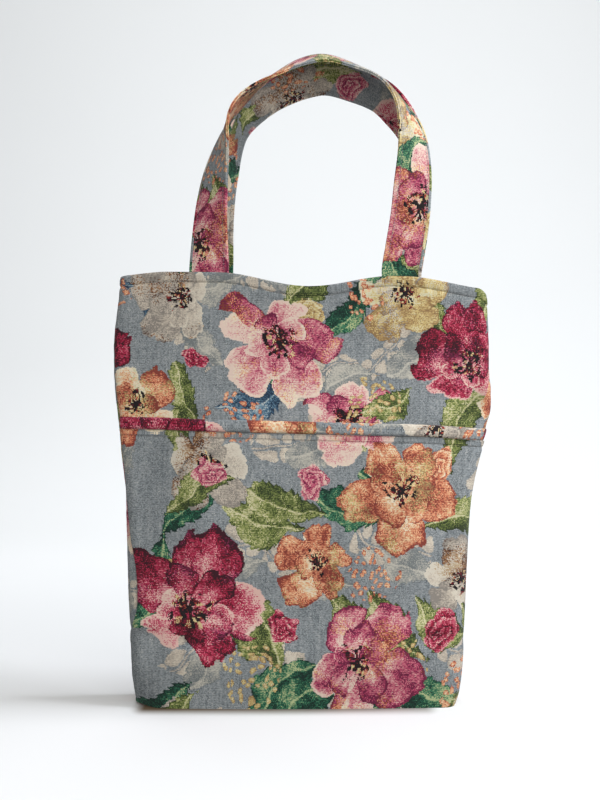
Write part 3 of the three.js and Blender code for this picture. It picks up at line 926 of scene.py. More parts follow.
def blooms(recipe, picture, point, marks, motifs, petals):
    """Large open flowers: two rings of petals round a ring of stamens."""
    local, radius, family, number = placed_motif(recipe, point, motifs)
    local = recipe.vector("MULTIPLY_ADD", local, (1.0, 1.12, 1), (0, -0.2, 0))
    radius = recipe.vector("LENGTH", local, output=1)
    x, y, _ = split(recipe, local)
    angle = y.maths("ARCTAN2", x)
    streaks = recipe.node("CombineXYZ", (angle * 6, radius * 1.4, number))
    streak = recipe.node("TexNoise", {"Vector": streaks, "Scale": 1.0, "Detail": 2.0}, noise_dimensions="3D")
    outer, out_share, out_petal, out_fold = petal_ring(recipe, angle, radius, petals, number, marks.ragged, 1.0)
    inner, in_share, in_petal, in_fold = petal_ring(recipe, angle, radius, petals, number + 0.47, marks.ragged, 0.58)
    share = recipe.mix(inner, out_share, in_share)
    petal = recipe.mix(inner, out_petal, in_petal)
    fold = recipe.mix(inner, out_fold, in_fold)
    outline = recipe.smooth(share, 0.91, 0.97) * ((petal > 0.45) * -0.7 + 0.36)
    wash = abs(share - petal * 1.1) * 0.75 + marks.blotch * 1.1 + streak * 0.6
    tone = wash - fold * 0.22 + outline + inner * -0.06 - 0.54
    mixed = family + (marks.wash + marks.other * 0.3 > 0.8)
    picture = layer(recipe, picture, outer.maths("MAXIMUM", inner), tone, mixed)
    dabs = recipe.node("CombineXYZ", ((angle * 4.2).maths("FLOOR"), (radius * 15 + number).maths("FLOOR"), 0))
    dab = recipe.node("TexWhiteNoise", {"Vector": dabs}, output=1, noise_dimensions="2D")
    here, kind, _ = split(recipe, dab)
    ring = recipe.smooth(radius + marks.ragged * 0.1, 0.4, 0.14)
    eye = (here * 0.6 + marks.other * 0.16 < ring * 0.5).maths("MAXIMUM", radius < 0.07)
    eye_tone = kind * kind * 1.2 + marks.ragged - recipe.smooth(radius, 0.12, 0.05) * 0.4
    return layer(recipe, picture, eye * (radius < 0.42), eye_tone, float(FAMILIES.index("eye")))


def leaves(recipe, picture, motif, marks, fullness):
    """Leaves with a pale rib, side veins, a dark and a light half and a toothed edge."""
    local, _, family, number = motif
    x, y, _ = split(recipe, local)
    bent = y + x * x * 0.26 - 0.1
    across = abs(bent)
    teeth = (x * 5 + number).maths("FRACT") * 0.07
    width = (1 - x * x) * (0.92 + x * 0.4) * fullness + marks.ragged * 0.06 + teeth - 0.06
    rib = recipe.smooth(across, 0.035, 0.012) * 0.42
    veins = ((x + across * -0.8) * 4.5 + number).maths("FRACT")
    vein = recipe.smooth(veins, 0.16, 0.0) * 0.16
    outline = recipe.smooth(width - across, 0.05, 0.015) * 0.3
    tone = (bent > 0) * 0.26 + marks.blotch * 1.3 + vein + rib + x * 0.14 - outline - 0.32
    return layer(recipe, picture, (across < width) * (abs(x) < 1), tone, family)


def sprigs(recipe, picture, motif, marks):
    """Thin bowed stems with pairs of small pale leaves."""
    local, _, family, _ = motif
    x, y, _ = split(recipe, local)
    bent = y + x * x * 0.3 - 0.12
    across = abs(bent)
    beat = (x * 2.6 + recipe.node("Math", (bent,), operation="SIGN") * 0.22).maths("FRACT") - 0.5
    oval = recipe.vector("LENGTH", recipe.node("CombineXYZ", (beat * 2.1, (across - 0.2) * 6.4, 0)), output=1)
    stem = across < 0.022
    mask = stem.maths("MAXIMUM", oval + marks.ragged * 0.5 < 0.92) * (abs(x) < 0.95)
    return layer(recipe, picture, mask, marks.blotch * 0.9 + oval * -0.2 + 0.3, family)


# Distance from berry to berry, in millimetres
BERRY_SPACING = 7.5


def berries(recipe, picture, motif, point, marks):
    """Loose clusters of small berries and buds."""
    _, radius, family, _ = motif
    cells = recipe.scaled(point, 1 / BERRY_SPACING)
    near = recipe.node("TexVoronoi", {"Vector": cells, "Scale": 1.0, "Randomness": 0.85}, voronoi_dimensions="2D")
    mask = (near + marks.ragged * 0.2 < 0.3) * (radius < 0.95)
    return layer(recipe, picture, mask, near * -1.4 + marks.blotch * 0.6 + 0.45, family)


def small_roses(recipe, picture, motif, marks):
    """Small roses: petals wound round the middle."""
    local, radius, family, number = motif
    x, y, _ = split(recipe, local)
    angle = y.maths("ARCTAN2", x)
    lobes = (angle * 5 + number).maths("SINE")
    inside = radius < lobes * 0.07 + marks.ragged * 0.22 + 0.88
    wound = (radius * 2.6 + angle * (2 / math.tau) + lobes * 0.16 + marks.blotch * 1.2).maths("FRACT")
    tone = wound * 0.62 + radius * 0.3 + marks.blotch * 0.5 - 0.22
    return layer(recipe, picture, inside, tone, family)


def yarn_colour(recipe, picture, dither):
    """Picks the yarn: one row of stops for each family, the tone broken up as the weave does."""
    tone = picture[0] + dither
    colour = None
    for index, family in enumerate(FAMILIES):
        yarns = YARNS[family]
        stops = [(step / len(yarns), light(*yarn)) for step, yarn in enumerate(yarns)]
        row = recipe.node("ValToRGB", (tone,), stops=("CONSTANT", *stops))
        colour = row if colour is None else recipe.mix_colour(picture[1] > index - 0.5, colour, row)
    return colour


def tapestry():
    """Woven floral cloth: big soft blooms, sprigs and leaves on a grey-blue ground."""
    recipe = Recipe("floral_tapestry")

    def flat_noise(place, scale, detail, output=0):
        inputs = {"Vector": place, "Scale": scale, "Detail": detail}
        return recipe.node("TexNoise", inputs, output, noise_dimensions="2D")

    cloth = recipe.node("UVMap", uv_map="cloth")
    millimetres = recipe.scaled(cloth, 1000.0)
    woven = recipe.vector("SNAP", millimetres, (*WEAVE, 1))
    cell = recipe.node("TexWhiteNoise", {"Vector": woven}, output=1, noise_dimensions="2D")
    speck, other, third = split(recipe, cell)
    drift = flat_noise(woven, 0.03, 1.0, 1)
    point = recipe.vector("ADD", recipe.vector("MULTIPLY_ADD", drift, (22, 22, 0), woven), (-11, -11, 0))
    marks = SimpleNamespace(
        ragged=flat_noise(woven, 0.2, 3.0) - 0.5,
        blotch=flat_noise(woven, 0.055, 3.0),
        wash=flat_noise(recipe.vector("ADD", woven, (300, 170, 0)), 0.028, 2.0),
        other=other,
    )

    def strewn(spacing, radius, shift, first, count):
        return scattered_motif(recipe, point, spacing, radius, shift, (first, count))

    streak = flat_noise(recipe.vector("MULTIPLY", woven, (1.0, 0.07, 1)), 0.42, 1.0)
    picture = (marks.blotch * 0.3 + streak * 0.4 + 0.16, 0.0)
    picture = sprigs(recipe, picture, strewn(84, 40, (0.3, 0.6), "cream", 1.0), marks)
    picture = leaves(recipe, picture, strewn(90, 34, (0.1, 0.9), "mist", 1.0), marks, 0.5)
    picture = leaves(recipe, picture, strewn(84, 40, (0.7, 0.2), "olive", 2.3), marks, 0.46)
    picture = blooms(recipe, picture, point, marks, BLOOMS_UNDER, 5)
    picture = leaves(recipe, picture, strewn(100, 42, (0.45, 0.35), "olive", 1.99), marks, 0.46)
    picture = berries(recipe, picture, strewn(124, 26, (0.8, 0.1), "peach", 1.99), point, marks)
    picture = small_roses(recipe, picture, strewn(116, 17, (0.2, 0.45), "crimson", 3.99), marks)
    picture = blooms(recipe, picture, point, marks, BLOOMS, 5)
    threads = recipe.vector("DIVIDE", millimetres, (*WEAVE, 1))
    along, up, _ = split(recipe, recipe.vector("FRACTION", threads))
    rib = (split(recipe, threads)[1] * 0.5).maths("FRACT") > 0.5
    dither = (speck - 0.5) * 0.52 + (third - 0.5) * 0.14 - rib * 0.13
    colour = yarn_colour(recipe, picture, dither)
    # This vertex value darkens and lightens the print: painted shade in grooves, at the hem, under the roll and in
    # dents, painted highlights on folded edges and ridges, and real wear
    wear_and_painted_light = recipe.node("Attribute", output=2, attribute_name="wear_and_painted_light", attribute_type="GEOMETRY")
    light_and_wear = flat_noise(millimetres, 0.02, 2.0) * 0.14 + 0.97 + third * 0.06 + wear_and_painted_light * 0.2
    colour = recipe.mix_colour(1.0, colour, recipe.node("CombineColor", (light_and_wear, light_and_wear, light_and_wear)), "MULTIPLY")
    rise_u, rise_v = abs(along - 0.5), abs(up - 0.5)
    height = 1 - rise_u * rise_u * 1.4 - rise_v * rise_v * 3 + third * 0.6 + marks.ragged
    return recipe.finish(colour, 0.9, 0.06, height, 0.25 * MM, 1.0)


def uneven_place(recipe, scale, detail):
    """The place in the object's own coordinates, and soft noise there."""
    place = recipe.node("TexCoord", output=3)
    return place, recipe.node("TexNoise", {"Vector": place, "Scale": scale, "Detail": detail})


def plain_cloth(name, colour, pitch):
    """Plain woven cloth of one colour, with its threads and soft unevenness."""
    recipe = Recipe(name)
    place, soft = uneven_place(recipe, 40.0, 4.0)
    x, _, z = split(recipe, recipe.vector("FRACTION", recipe.scaled(place, 1 / pitch)))
    height = 1 - abs(x - 0.5) - abs(z - 0.5) + soft * 0.6
    return recipe.finish(recipe.uneven(soft, colour, 0.86, 1.1), 0.88, 0.2, height, 0.15 * MM, 0.8)


def board_finish(colour):
    recipe = Recipe("base_board_sheet")
    _, grain = uneven_place(recipe, 900.0, 3.0)
    return recipe.finish(recipe.uneven(grain, colour, 0.85, 1.12), 0.6, 0.0, grain, 0.05 * MM, 0.6)


def thread_finish(colour):
    recipe = Recipe("topstitch_thread")
    _, twist = uneven_place(recipe, 1500.0, 2.0)
    return recipe.finish(recipe.uneven(twist, colour, 0.8, 1.15), 0.7, 0.3, twist, 0.05 * MM, 0.5)


# Painted contact shadow on the floor right beside the bag, warm as if lit from the cloth: share of the
# floor's colour, half depth and half width that it starts from, where its middle is, where it is gone and
# where it is full, how much sooner it fades at the sides, and its strength in the middle and for each metre
FLOOR_SHADE = (0.16, 0.105, 0.06)
FLOOR_SHADE_DEPTH = 0.029
FLOOR_SHADE_WIDTH = 0.124
FLOOR_SHADE_MIDDLE = -0.016
FLOOR_SHADE_REACH = (0.032, -0.004)
FLOOR_SHADE_SIDE_FADE = 2.2
FLOOR_SHADE_STRENGTH = (0.85, -1.6)


def floor_finish(colour):
    recipe = Recipe("studio_floor")
    place, soft = uneven_place(recipe, 3.0, 2.0)
    shaded = recipe.uneven(soft, colour, 0.985, 1.0)
    x, y, _ = split(recipe, place)
    level, slope, bend = TOE_CURVE
    edge = x * x * bend + x * slope + (level + FLOOR_SHADE_DEPTH)
    beside = (abs(x - FLOOR_SHADE_MIDDLE) - FLOOR_SHADE_WIDTH).maths("MAXIMUM", 0.0) * FLOOR_SHADE_SIDE_FADE
    before = (y * -1 - edge).maths("MAXIMUM", y - FLOOR_SHADE_DEPTH).maths("MAXIMUM", 0.0)
    away = recipe.vector("LENGTH", recipe.node("CombineXYZ", (beside, before, 0)), output=1)
    strength, change = FLOOR_SHADE_STRENGTH
    # Painted contact shadow: darkest close to the bag's foot, stronger on its left, and warm in colour
    near = recipe.smooth(away, *FLOOR_SHADE_REACH) * (x * change + strength)
    warm = tuple(part * share for part, share in zip(colour, FLOOR_SHADE))
    return recipe.finish(recipe.mix_colour(near, shaded, (*warm, 1)), 0.8, 0.0)


def material(name):
    """The named finish, made the first time that it is asked for."""
    colours = read(bpy.context.scene.bag_colours)
    makers = {
        "floral_tapestry": tapestry,
        "lining_weave": lambda: plain_cloth("lining_weave", colours.lining, 0.5 * MM),
        "webbing_core": lambda: plain_cloth("webbing_core", colours.webbing, 1.4 * MM),
        "base_board_sheet": lambda: board_finish(colours.board),
        "topstitch_thread": lambda: thread_finish(colours.thread),
        "studio_floor": lambda: floor_finish(colours.floor),
    }
    return bpy.data.materials.get(name) or makers[name]()


def make_loft():
    scene = bpy.context.scene
    return Loft(read(scene.bag_body), read(scene.bag_pocket), read(scene.bag_handles))


# Where each piece was cut from the printed length of cloth
CUTS = {
    "front": (0.0, 0.0),
    "back": (0.19, 0.13),
    "base": (0.1, 0.3),
    "roll": (0.03, 0.1),
    "front_facing": (0.09, 0.31),
    "back_facing": (0.27, 0.22),
    "front_handle": (0.05, 0.02),
    "back_handle": (0.21, 0.17),
}


def wall_start(share):
    """Height that the outer walls start from, all along."""
    return WALL_START


def declare_wall(loft, side, top, bottom):
    """Works out a wall's flat size: its length along the cloth and its height, and its true area; it keeps none of
    them.
    """
    steps = 24
    area = 0.0
    widest = 0.0
    for step in range(steps):
        share = (step + 0.5) / steps * 2 - 1
        low, high = bottom(share), top(share)
        for level in range(steps):
            z = lerp(low, high, (level + 0.5) / steps)
            length = 2 * loft.section(side, z).length
            area += length * (high - low) / steps ** 2
            widest = max(widest, length)
    tallest = max(top(share / 10) - bottom(share / 10) for share in range(-10, 11))


class BAG_OT_panels(bpy.types.Operator):
    """Front and back panels and the base, of tapestry cloth"""

    bl_idname = "bag.panels"
    bl_label = "Outer panels"

    def execute(self, context):
        loft = make_loft()
        sizes = loft.sizes
        columns, rows = PANEL_GRID
        height, rows = stitched_heights(rows, sizes.hem_stitch, wall_start, loft.rim)
        for side in ("front", "back"):
            def inset(u, z, side=side):
                below = loft.rim(loft.share_at(side, u, z)) - z
                return -(loft.relief(side, u, z) + loft.seam_relief(side, u, z) + loft.hem(below))

            def wear_and_painted_light(u, z, side=side):
                below = loft.rim(loft.share_at(side, u, z)) - z
                from_stitch = below - sizes.hem_stitch
                # Painted shade on the hem above the stitching
                shade = lerp(*HEM_SHADE, smooth_step(*HEM_SHADE_SPAN, u)) * smooth_step(*HEM_SHADE_EDGE, from_stitch)
                # Painted shade in the front's dents and painted highlights on its ridges
                folds = sum(fold_height(fold, u, z) for fold in FRONT_FOLDS) if side == "front" else 0
                edges = light_and_wear(below, RIM_EDGE_WEAR_AND_HIGHLIGHT) + light_and_wear(from_stitch, RIM_STITCH_PAINTED_LIGHT)
                return edges + loft.seam_darkening_and_foot_wear(side, u, z) - shade + FOLD_SHADE * folds

            mesh = wall_sheet(loft, side, height, inset, columns, rows, loft.along_panel, wear_and_painted_light)
            thicken(mesh, sizes.tapestry, TAPESTRY_EDGE)
            write_cloth_map(mesh, CUTS[side])
            piece = bag_piece(mesh, f"{side}_panel", "floral_tapestry", "tapestry")
            declare_wall(loft, side, loft.rim, wall_start)
        self.base(loft)
        return {"FINISHED"}

    def base(self, loft):
        thickness = loft.sizes.tapestry
        inset = loft.edge_inset(WALL_START) + BASE_INSET - loft.edge_inset(0)
        mesh = level_sheet(loft, 0, inset, thickness, FLOOR_GRID)
        thicken(mesh, thickness, BASE_EDGE)
        write_cloth_map(mesh, CUTS["base"])
        piece = bag_piece(mesh, "base_panel", "floral_tapestry", "tapestry")


class BAG_OT_inside(bpy.types.Operator):
    """Facings, linings and the base board inside the bag"""

    bl_idname = "bag.inside"
    bl_label = "Facings and lining"

    def execute(self, context):
        loft = make_loft()
        for side in ("front", "back"):
            self.facing(loft, side)
            self.lining(loft, side)
        self.floor_lining(loft)
        self.board(loft)
        return {"FINISHED"}

    def facing(self, loft, side):
        sizes = loft.sizes

        def bottom(share):
            return loft.rim(share) - sizes.hem_depth

        def inset(u, z):
            return loft.facing_inset(side, u / loft.section(side, z).length, z) - loft.relief(side, u, z)

        def height(up, share):
            return lerp(bottom(share), loft.rim(share), up)

        mesh = wall_sheet(loft, side, height, inset, *FACING_GRID, loft.along_lining)
        thicken(mesh, sizes.tapestry, TAPESTRY_EDGE)
        write_cloth_map(mesh, CUTS[f"{side}_facing"])
        piece = bag_piece(mesh, f"{side}_facing", "floral_tapestry", "tapestry")
        declare_wall(loft, side, loft.rim, bottom)

    def lining(self, loft, side):
        sizes = loft.sizes
        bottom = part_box(f"{side}_lining")[0][2]

        def top(share):
            return loft.rim(share) - sizes.hem_depth - SEAM_CLEARANCE

        def inset(u, z):
            return loft.inside - loft.relief(side, u, z)

        def height(up, share):
            return lerp(bottom, top(share), up)

        mesh = wall_sheet(loft, side, height, inset, *LINING_GRID, loft.along_lining)
        thicken(mesh, sizes.lining, LINING_EDGE)
        write_cloth_map(mesh, (0.0, 0.0))
        piece = bag_piece(mesh, f"{side}_lining", "lining_weave", "lining_cloth")
        declare_wall(loft, side, top, lambda share: bottom)

    def board(self, loft):
        """The stiffener, cut to the outline that the cloth draws in to."""
        low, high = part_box("base_board")
        inset = loft.inside + BOARD_CLEARANCE + loft.edge_inset(low[2]) - loft.edge_inset(0)
        mesh = level_sheet(loft, 0, inset, high[2], BOARD_GRID)
        thicken(mesh, high[2] - low[2], LINING_EDGE)
        bag_piece(mesh, "base_board", "base_board_sheet", "base_board", ending="sheet")

    def floor_lining(self, loft):
        low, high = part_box("base_lining")
        inset = loft.inside + loft.edge_inset(low[2])
        mesh = level_sheet(loft, low[2], inset, high[2] - low[2], FLOOR_GRID)
        thicken(mesh, loft.sizes.lining, LINING_EDGE)
        write_cloth_map(mesh, (0.0, 0.0))
        piece = bag_piece(mesh, "base_lining", "lining_weave", "lining_cloth")


class BAG_OT_pocket(bpy.types.Operator):
    """Front pocket with its lining"""

    bl_idname = "bag.pocket"
    bl_label = "Front pocket"

    def execute(self, context):
        loft = make_loft()
        sizes, pocket = loft.sizes, loft.pocket

        def below_mouth(u, z):
            return loft.pocket_top(u / loft.section("front", z).length) - z

        def panel_inset(u, z):
            depth, width = POCKET_GROOVE
            drawn = depth * bell(below_mouth(u, z) - pocket.stitch_drop, width)
            return -(loft.pocket_face + loft.pocket_out(u, z) - drawn + loft.seam_relief("front", u, z))

        def lining_inset(u, z):
            return -(POCKET_CLEARANCE + sizes.lining + loft.pocket_out(u, z))

        def wear_and_painted_light(u, z):
            below = below_mouth(u, z)
            # Painted shade in the pocket's dents and painted highlights on its ridges
            folds = FOLD_SHADE * sum(fold_height(fold, u, z) for fold in POCKET_FOLDS)
            edges = light_and_wear(below, POCKET_EDGE_PAINTED_SHADE) + light_and_wear(below - pocket.stitch_drop, POCKET_STITCH_PAINTED_LIGHT)
            return edges + loft.seam_darkening_and_foot_wear("front", u, z) + folds

        layers = (
            ("pocket_panel", panel_inset, sizes.tapestry, "floral_tapestry", "pocket_tapestry", TAPESTRY_EDGE),
            ("pocket_lining", lining_inset, sizes.lining, "lining_weave", "lining_cloth", LINING_EDGE),
        )
        columns, rows = POCKET_GRID
        height, rows = stitched_heights(rows, pocket.stitch_drop, wall_start, loft.pocket_top)
        for node, inset, thickness, finish, slot, edge_round in layers:
            mesh = wall_sheet(loft, "front", height, inset, columns, rows, loft.along_panel, wear_and_painted_light)
            thicken(mesh, thickness, edge_round)
            write_cloth_map(mesh, CUTS["front"])
            piece = bag_piece(mesh, node, finish, slot)
            declare_wall(loft, "front", loft.pocket_top, wall_start)
        return {"FINISHED"}


# Padded roll: grid, how near its ends come to the seams, where round its section the cloth starts, and
# how much cloth goes round it
ROLL_GRID = (200, 24)
ROLL_REACH = 0.998
ROLL_TURN = 0.55
ROLL_GIRTH = 0.026

# How square its section is outward and upward, how its height closes towards the ends, how plump it is
# in waves along it, how much of that is upward, and how it sags
ROLL_SQUARENESS = (0.8, 0.75)
ROLL_END_START = 0.965
ROLL_END_HEIGHT = 0.45
ROLL_END_CLOSING = 0.3
ROLL_PLUMP_WAVES = ((0.02, 0, 0.06), (0.006, 3, 0.05))
ROLL_PLUMP_UPWARD = 0.4
ROLL_SAG = (0.05, 0.5 * MM)
ROLL_SEED = 51
# Painted highlight along the roll's top and painted shade along its underside: where round it, how wide and how
# strong
ROLL_PAINTED_LIGHT = ((1, 0.3, 0.8), (-1, 0.45, -1.5))


class BAG_OT_pocket_roll(bpy.types.Operator):
    """Padded roll along the pocket's mouth"""

    bl_idname = "bag.pocket_roll"
    bl_label = "Pocket roll"

    def execute(self, context):
        loft = make_loft()
        pocket = loft.pocket

        def place(across, around):
            u = loft.along_panel("front", clamp(2 * across - 1, -1, 1) * ROLL_REACH, pocket.height)
            share = u / loft.section("front", pocket.height).length
            angle = (around + ROLL_TURN) * math.tau
            outward, upward = (
                0.5 + 0.5 * power_wave(wave, power)
                for wave, power in zip((math.cos(angle), math.sin(angle)), ROLL_SQUARENESS)
            )
            plump = 1.0
            for length, row, strength in ROLL_PLUMP_WAVES:
                plump += strength * noise.noise(Vector((u / length, row, ROLL_SEED)))
            depth = lerp(pocket.roll_depth, ROLL_SEAM_DEPTH, smooth_step(ROLL_TAPER_START, 1, abs(share)))
            height = pocket.roll_height * upward * lerp(1, plump, ROLL_PLUMP_UPWARD)
            closing = ROLL_END_CLOSING * smooth_step(ROLL_END_START, 1, abs(share))
            height = lerp(height, pocket.roll_height * ROLL_END_HEIGHT, closing)
            sag_length, sag = ROLL_SAG
            mouth = loft.pocket_top(share)
            z = mouth + SEAM_CLEARANCE + height + sag * noise.noise(Vector((u / sag_length, 7, ROLL_SEED)))
            inset = -(POCKET_CLEARANCE + loft.pocket_out(u, mouth) + depth * outward * plump)
            # The roll's top gets a painted highlight and its underside painted shade
            return loft.point("front", z, u, inset), u, around * ROLL_GIRTH, light_and_wear(math.sin(angle), ROLL_PAINTED_LIGHT)

        mesh = placed_grid(*ROLL_GRID, place)
        write_cloth_map(mesh, CUTS["roll"])
        close_tube(mesh, 0.02 * MM)
        piece = bag_piece(mesh, "pocket_mouth_roll", "floral_tapestry", "roll_cloth")
        return {"FINISHED"}


def power_wave(value, power):
    return math.copysign(abs(value) ** power, value)


def close_tube(mesh, gap):
    """Joins the seam of a tube where it is narrower than the gap, fills its open ends and turns it outward."""
    bmesh.ops.remove_doubles(mesh, verts=mesh.verts[:], dist=gap)
    open_edges = [edge for edge in mesh.edges if edge.is_boundary]
    bmesh.ops.holes_fill(mesh, edges=open_edges, sides=0)
    bmesh.ops.recalc_face_normals(mesh, faces=mesh.faces[:])


# Handles

# Route of a strap's middle over the mouth, as shares of half the spacing and of the rise
ARCH_ROUTE = (
    (-0.975, 0.281), (-0.903, 0.518), (-0.769, 0.754), (-0.568, 0.851), (-0.218, 0.944), (-0.012, 0.984),
    (0.19, 1.0), (0.446, 0.972), (0.832, 0.884), (1.095, 0.665), (1.106, 0.328),
)

# Twist along the strap, left root to right root, as a share of the twist at the crown
TWIST_ROUTE = {
    "front": (
        (0.0, 0.1), (0.07, 0.4), (0.154, 0.64), (0.21, 0.86), (0.255, 1.1), (0.29, 1.3), (0.33, 1.38),
        (0.38, 1.24), (0.42, 1.1), (0.49, 1.0),
        (0.625, 1.13), (0.68, 1.04), (0.725, 0.74), (0.79, 0.45), (0.86, 0.18), (1.0, 0.1),
    ),
    "back": (
        (0.0, 0.14), (0.12, 0.7), (0.2, 1.2), (0.28, 1.55), (0.34, 1.3), (0.43, 1.0), (0.5, 1.0),
        (0.6, 1.02), (0.67, 1.14), (0.73, 1.4), (0.79, 1.15), (0.88, 0.55), (1.0, 0.14),
    ),
}

# How far the strap leans towards the inside of its arch, at shares of its length
LEAN_ROUTE = {
    "front": ((0.0, 0.0), (0.2, 0.0), (0.28, 0.0012), (0.32, 0.0022), (0.38, 0.001), (0.46, 0.0), (1.0, 0.0)),
    "back": (
        (0.0, 0.0), (0.13, 0.0), (0.22, 0.0028), (0.29, 0.005), (0.35, 0.0022), (0.41, -0.001), (0.48, 0.0),
        (0.66, 0.0), (0.73, -0.0022), (0.8, -0.0012), (0.88, 0.0), (1.0, 0.0),
    ),
}
ARCH_STEPS = 200
END_STEPS = 12
CURVE_STEPS = 40
STRAP_COLUMNS = 28

# Straps: seed of the noise, depth and width of the groove along the edge stitching, size and height of
# the waves and of the puckers, and how far from the stitching those reach
STRAP_SEEDS = {"front": 61.0, "back": 73.0}
STRAP_GROOVE = (0.42 * MM, 1.0 * MM)
STRAP_WAVE = (0.03, 0.045, 0.25 * MM)
STRAP_PUCKER = (0.012, 0.008, 0.12 * MM)
STRAP_PUCKER_REACH = 4 * MM
# The strap's folded edges are rubbed paler and have a painted highlight, and painted shade lies in the groove of the
# edge stitching
STRAP_EDGE_WEAR_AND_HIGHLIGHT = ((0.0, 1.0 * MM, 1.9),)
STRAP_STITCH_PAINTED_SHADE = ((0.0, 0.9 * MM, -0.8),)

# Painted shade in the crevice where a strap's two folded edges meet: its strength, its width through and its width
# across
STRAP_JOIN_PAINTED_SHADE = (4.5, 0.4 * MM, 1.0 * MM)
CORE_INSET = 2 * MM

# Where a strap starts to follow its carrier and where it follows it fully, from the fold
STRAP_BEND = (-3 * MM, 22 * MM)


def even_points(points, steps):
    """Even points with their directions along a smooth centripetal curve through the given ones."""
    padded = [points[0] * 2 - points[1], *points, points[-1] * 2 - points[-2]]
    fine = []
    for index in range(1, len(padded) - 2):
        p0, p1, p2, p3 = padded[index - 1:index + 3]
        d01, d12, d23 = ((b - a).length ** 0.5 for a, b in ((p0, p1), (p1, p2), (p2, p3)))
        start = ((p1 - p0) / d01 - (p2 - p0) / (d01 + d12) + (p2 - p1) / d12) * d12
        end = ((p2 - p1) / d12 - (p3 - p1) / (d12 + d23) + (p3 - p2) / d23) * d12
        for step in range(CURVE_STEPS):
            t = step / CURVE_STEPS
            fine.append(
                p1 * (2 * t ** 3 - 3 * t * t + 1) + start * (t ** 3 - 2 * t * t + t)
                + p2 * (3 * t * t - 2 * t ** 3) + end * (t ** 3 - t * t)
            )
    fine.append(points[-1])
    lengths = [0.0]
    for before, after in zip(fine, fine[1:]):
        lengths.append(lengths[-1] + (after - before).length)
    total = lengths[-1]
    even = []
    index = 0
    for step in range(steps + 1):
        wanted = total * step / steps
        while index < len(fine) - 2 and lengths[index + 1] < wanted:
            index += 1
        share = clamp((wanted - lengths[index]) / (lengths[index + 1] - lengths[index]))
        direction = (fine[index + 1] - fine[index]).normalized()
        even.append((fine[index].lerp(fine[index + 1], share), direction))
    return even, total


def strap_frames(loft, side):
    """Middle, across and normal of the strap at steps along it, sewn-in ends included, and its length."""
    sizes, handles = loft.sizes, loft.handles
    hinge = sizes.body_height + HINGE_RISE
    facing = -1 if side == "front" else 1
    rise = handles.front_rise if side == "front" else handles.back_rise
    inset = loft.inside + handles.thickness / 2
    left = loft.point(side, hinge, loft.handle_distance(side, -1), inset)
    right = loft.point(side, hinge, loft.handle_distance(side, 1), inset)
    middle, half = (left.x + right.x) / 2, (right.x - left.x) / 2
    points = [left]
    for u, v in ARCH_ROUTE:
        y = lerp(left.y, right.y, (u + 1) / 2) + facing * CROWN_SPREAD * v
        lift = BACK_CROWN_LIFT * v if side == "back" else 0
        points.append(Vector((middle + u * half, y, hinge + v * rise + lift)))
    points.append(right)
    even, total = even_points(points, ARCH_STEPS)
    frames = []
    for step, (centre, tangent) in enumerate(even):
        share = step / ARCH_STEPS
        if step == 0:
            tangent = Vector((0, 0, 1))
        elif step == ARCH_STEPS:
            tangent = Vector((0, 0, -1))
        inward = Vector((0, 1, 0)).cross(tangent).normalized()
        twist = follow_stations(TWIST_ROUTE[side], share)[1] * CROWN_TWIST[side]
        across = inward * math.cos(twist) + Vector((0, facing * math.sin(twist), 0))
        centre = centre + inward * follow_stations(LEAN_ROUTE[side], share)[1]
        normal = -across.cross(tangent).normalized()
        across = -tangent.cross(normal).normalized()
        frames.append((centre, across, normal, share * total, 1.0))
    pressed = handles.edge_thickness / handles.thickness
    for which, end in ((-1, frames[0]), (1, frames[-1])):
        distance = loft.handle_distance(side, which)
        share = distance / loft.section(side, sizes.body_height).length
        low = loft.rim(share) - handles.tuck
        ends = []
        for step in range(1, END_STEPS + 1):
            z = lerp(hinge, low, step / END_STEPS)
            thin = lerp(1, pressed, smooth_step(0, 0.5, step / END_STEPS))
            centre = loft.point(side, z, distance, loft.inside + handles.thickness / 2 * thin)
            ends.append((centre, end[1], end[2], end[3] + which * (hinge - z), thin))
        frames = [*reversed(ends), *frames] if which < 0 else [*frames, *ends]
    return frames, total


# Folded edge of the strap: distance in from the edge in millimetres, and share of the half thickness
STRAP_EDGE = ((1.5, 1.0), (0.8, 0.97), (0.25, 0.84), (0.0, 0.58), (0.2, 0.3), (0.7, 0.06))


def strap_half_thickness(handles, p):
    """Half thickness at a distance across: full in the middle, drawn in along the edge stitching."""
    edge = handles.width / 2 - abs(p)
    full = lerp(handles.edge_thickness, handles.thickness, smooth_step(0, handles.width / 2, edge)) / 2
    depth, width = STRAP_GROOVE
    return full - depth * bell(edge - handles.stitch_inset, width)


def strap_ring(handles):
    """Across and through positions round the strap's section, whose edges are two folds that meet."""
    half = handles.width / 2
    flat = half - STRAP_EDGE[0][0] * MM
    top = [lerp(-flat, flat, step / STRAP_COLUMNS) for step in range(1, STRAP_COLUMNS)]
    ring = [(p, -strap_half_thickness(handles, p)) for p in top]
    edge = [(half - inward * MM, share * strap_half_thickness(handles, half)) for inward, share in STRAP_EDGE]
    ring += [(p, -q) for p, q in edge] + [(p, q) for p, q in reversed(edge)]
    ring += [(p, strap_half_thickness(handles, p)) for p in reversed(top)]
    ring += [(-p, q) for p, q in edge] + [(-p, -q) for p, q in reversed(edge)]
    return ring


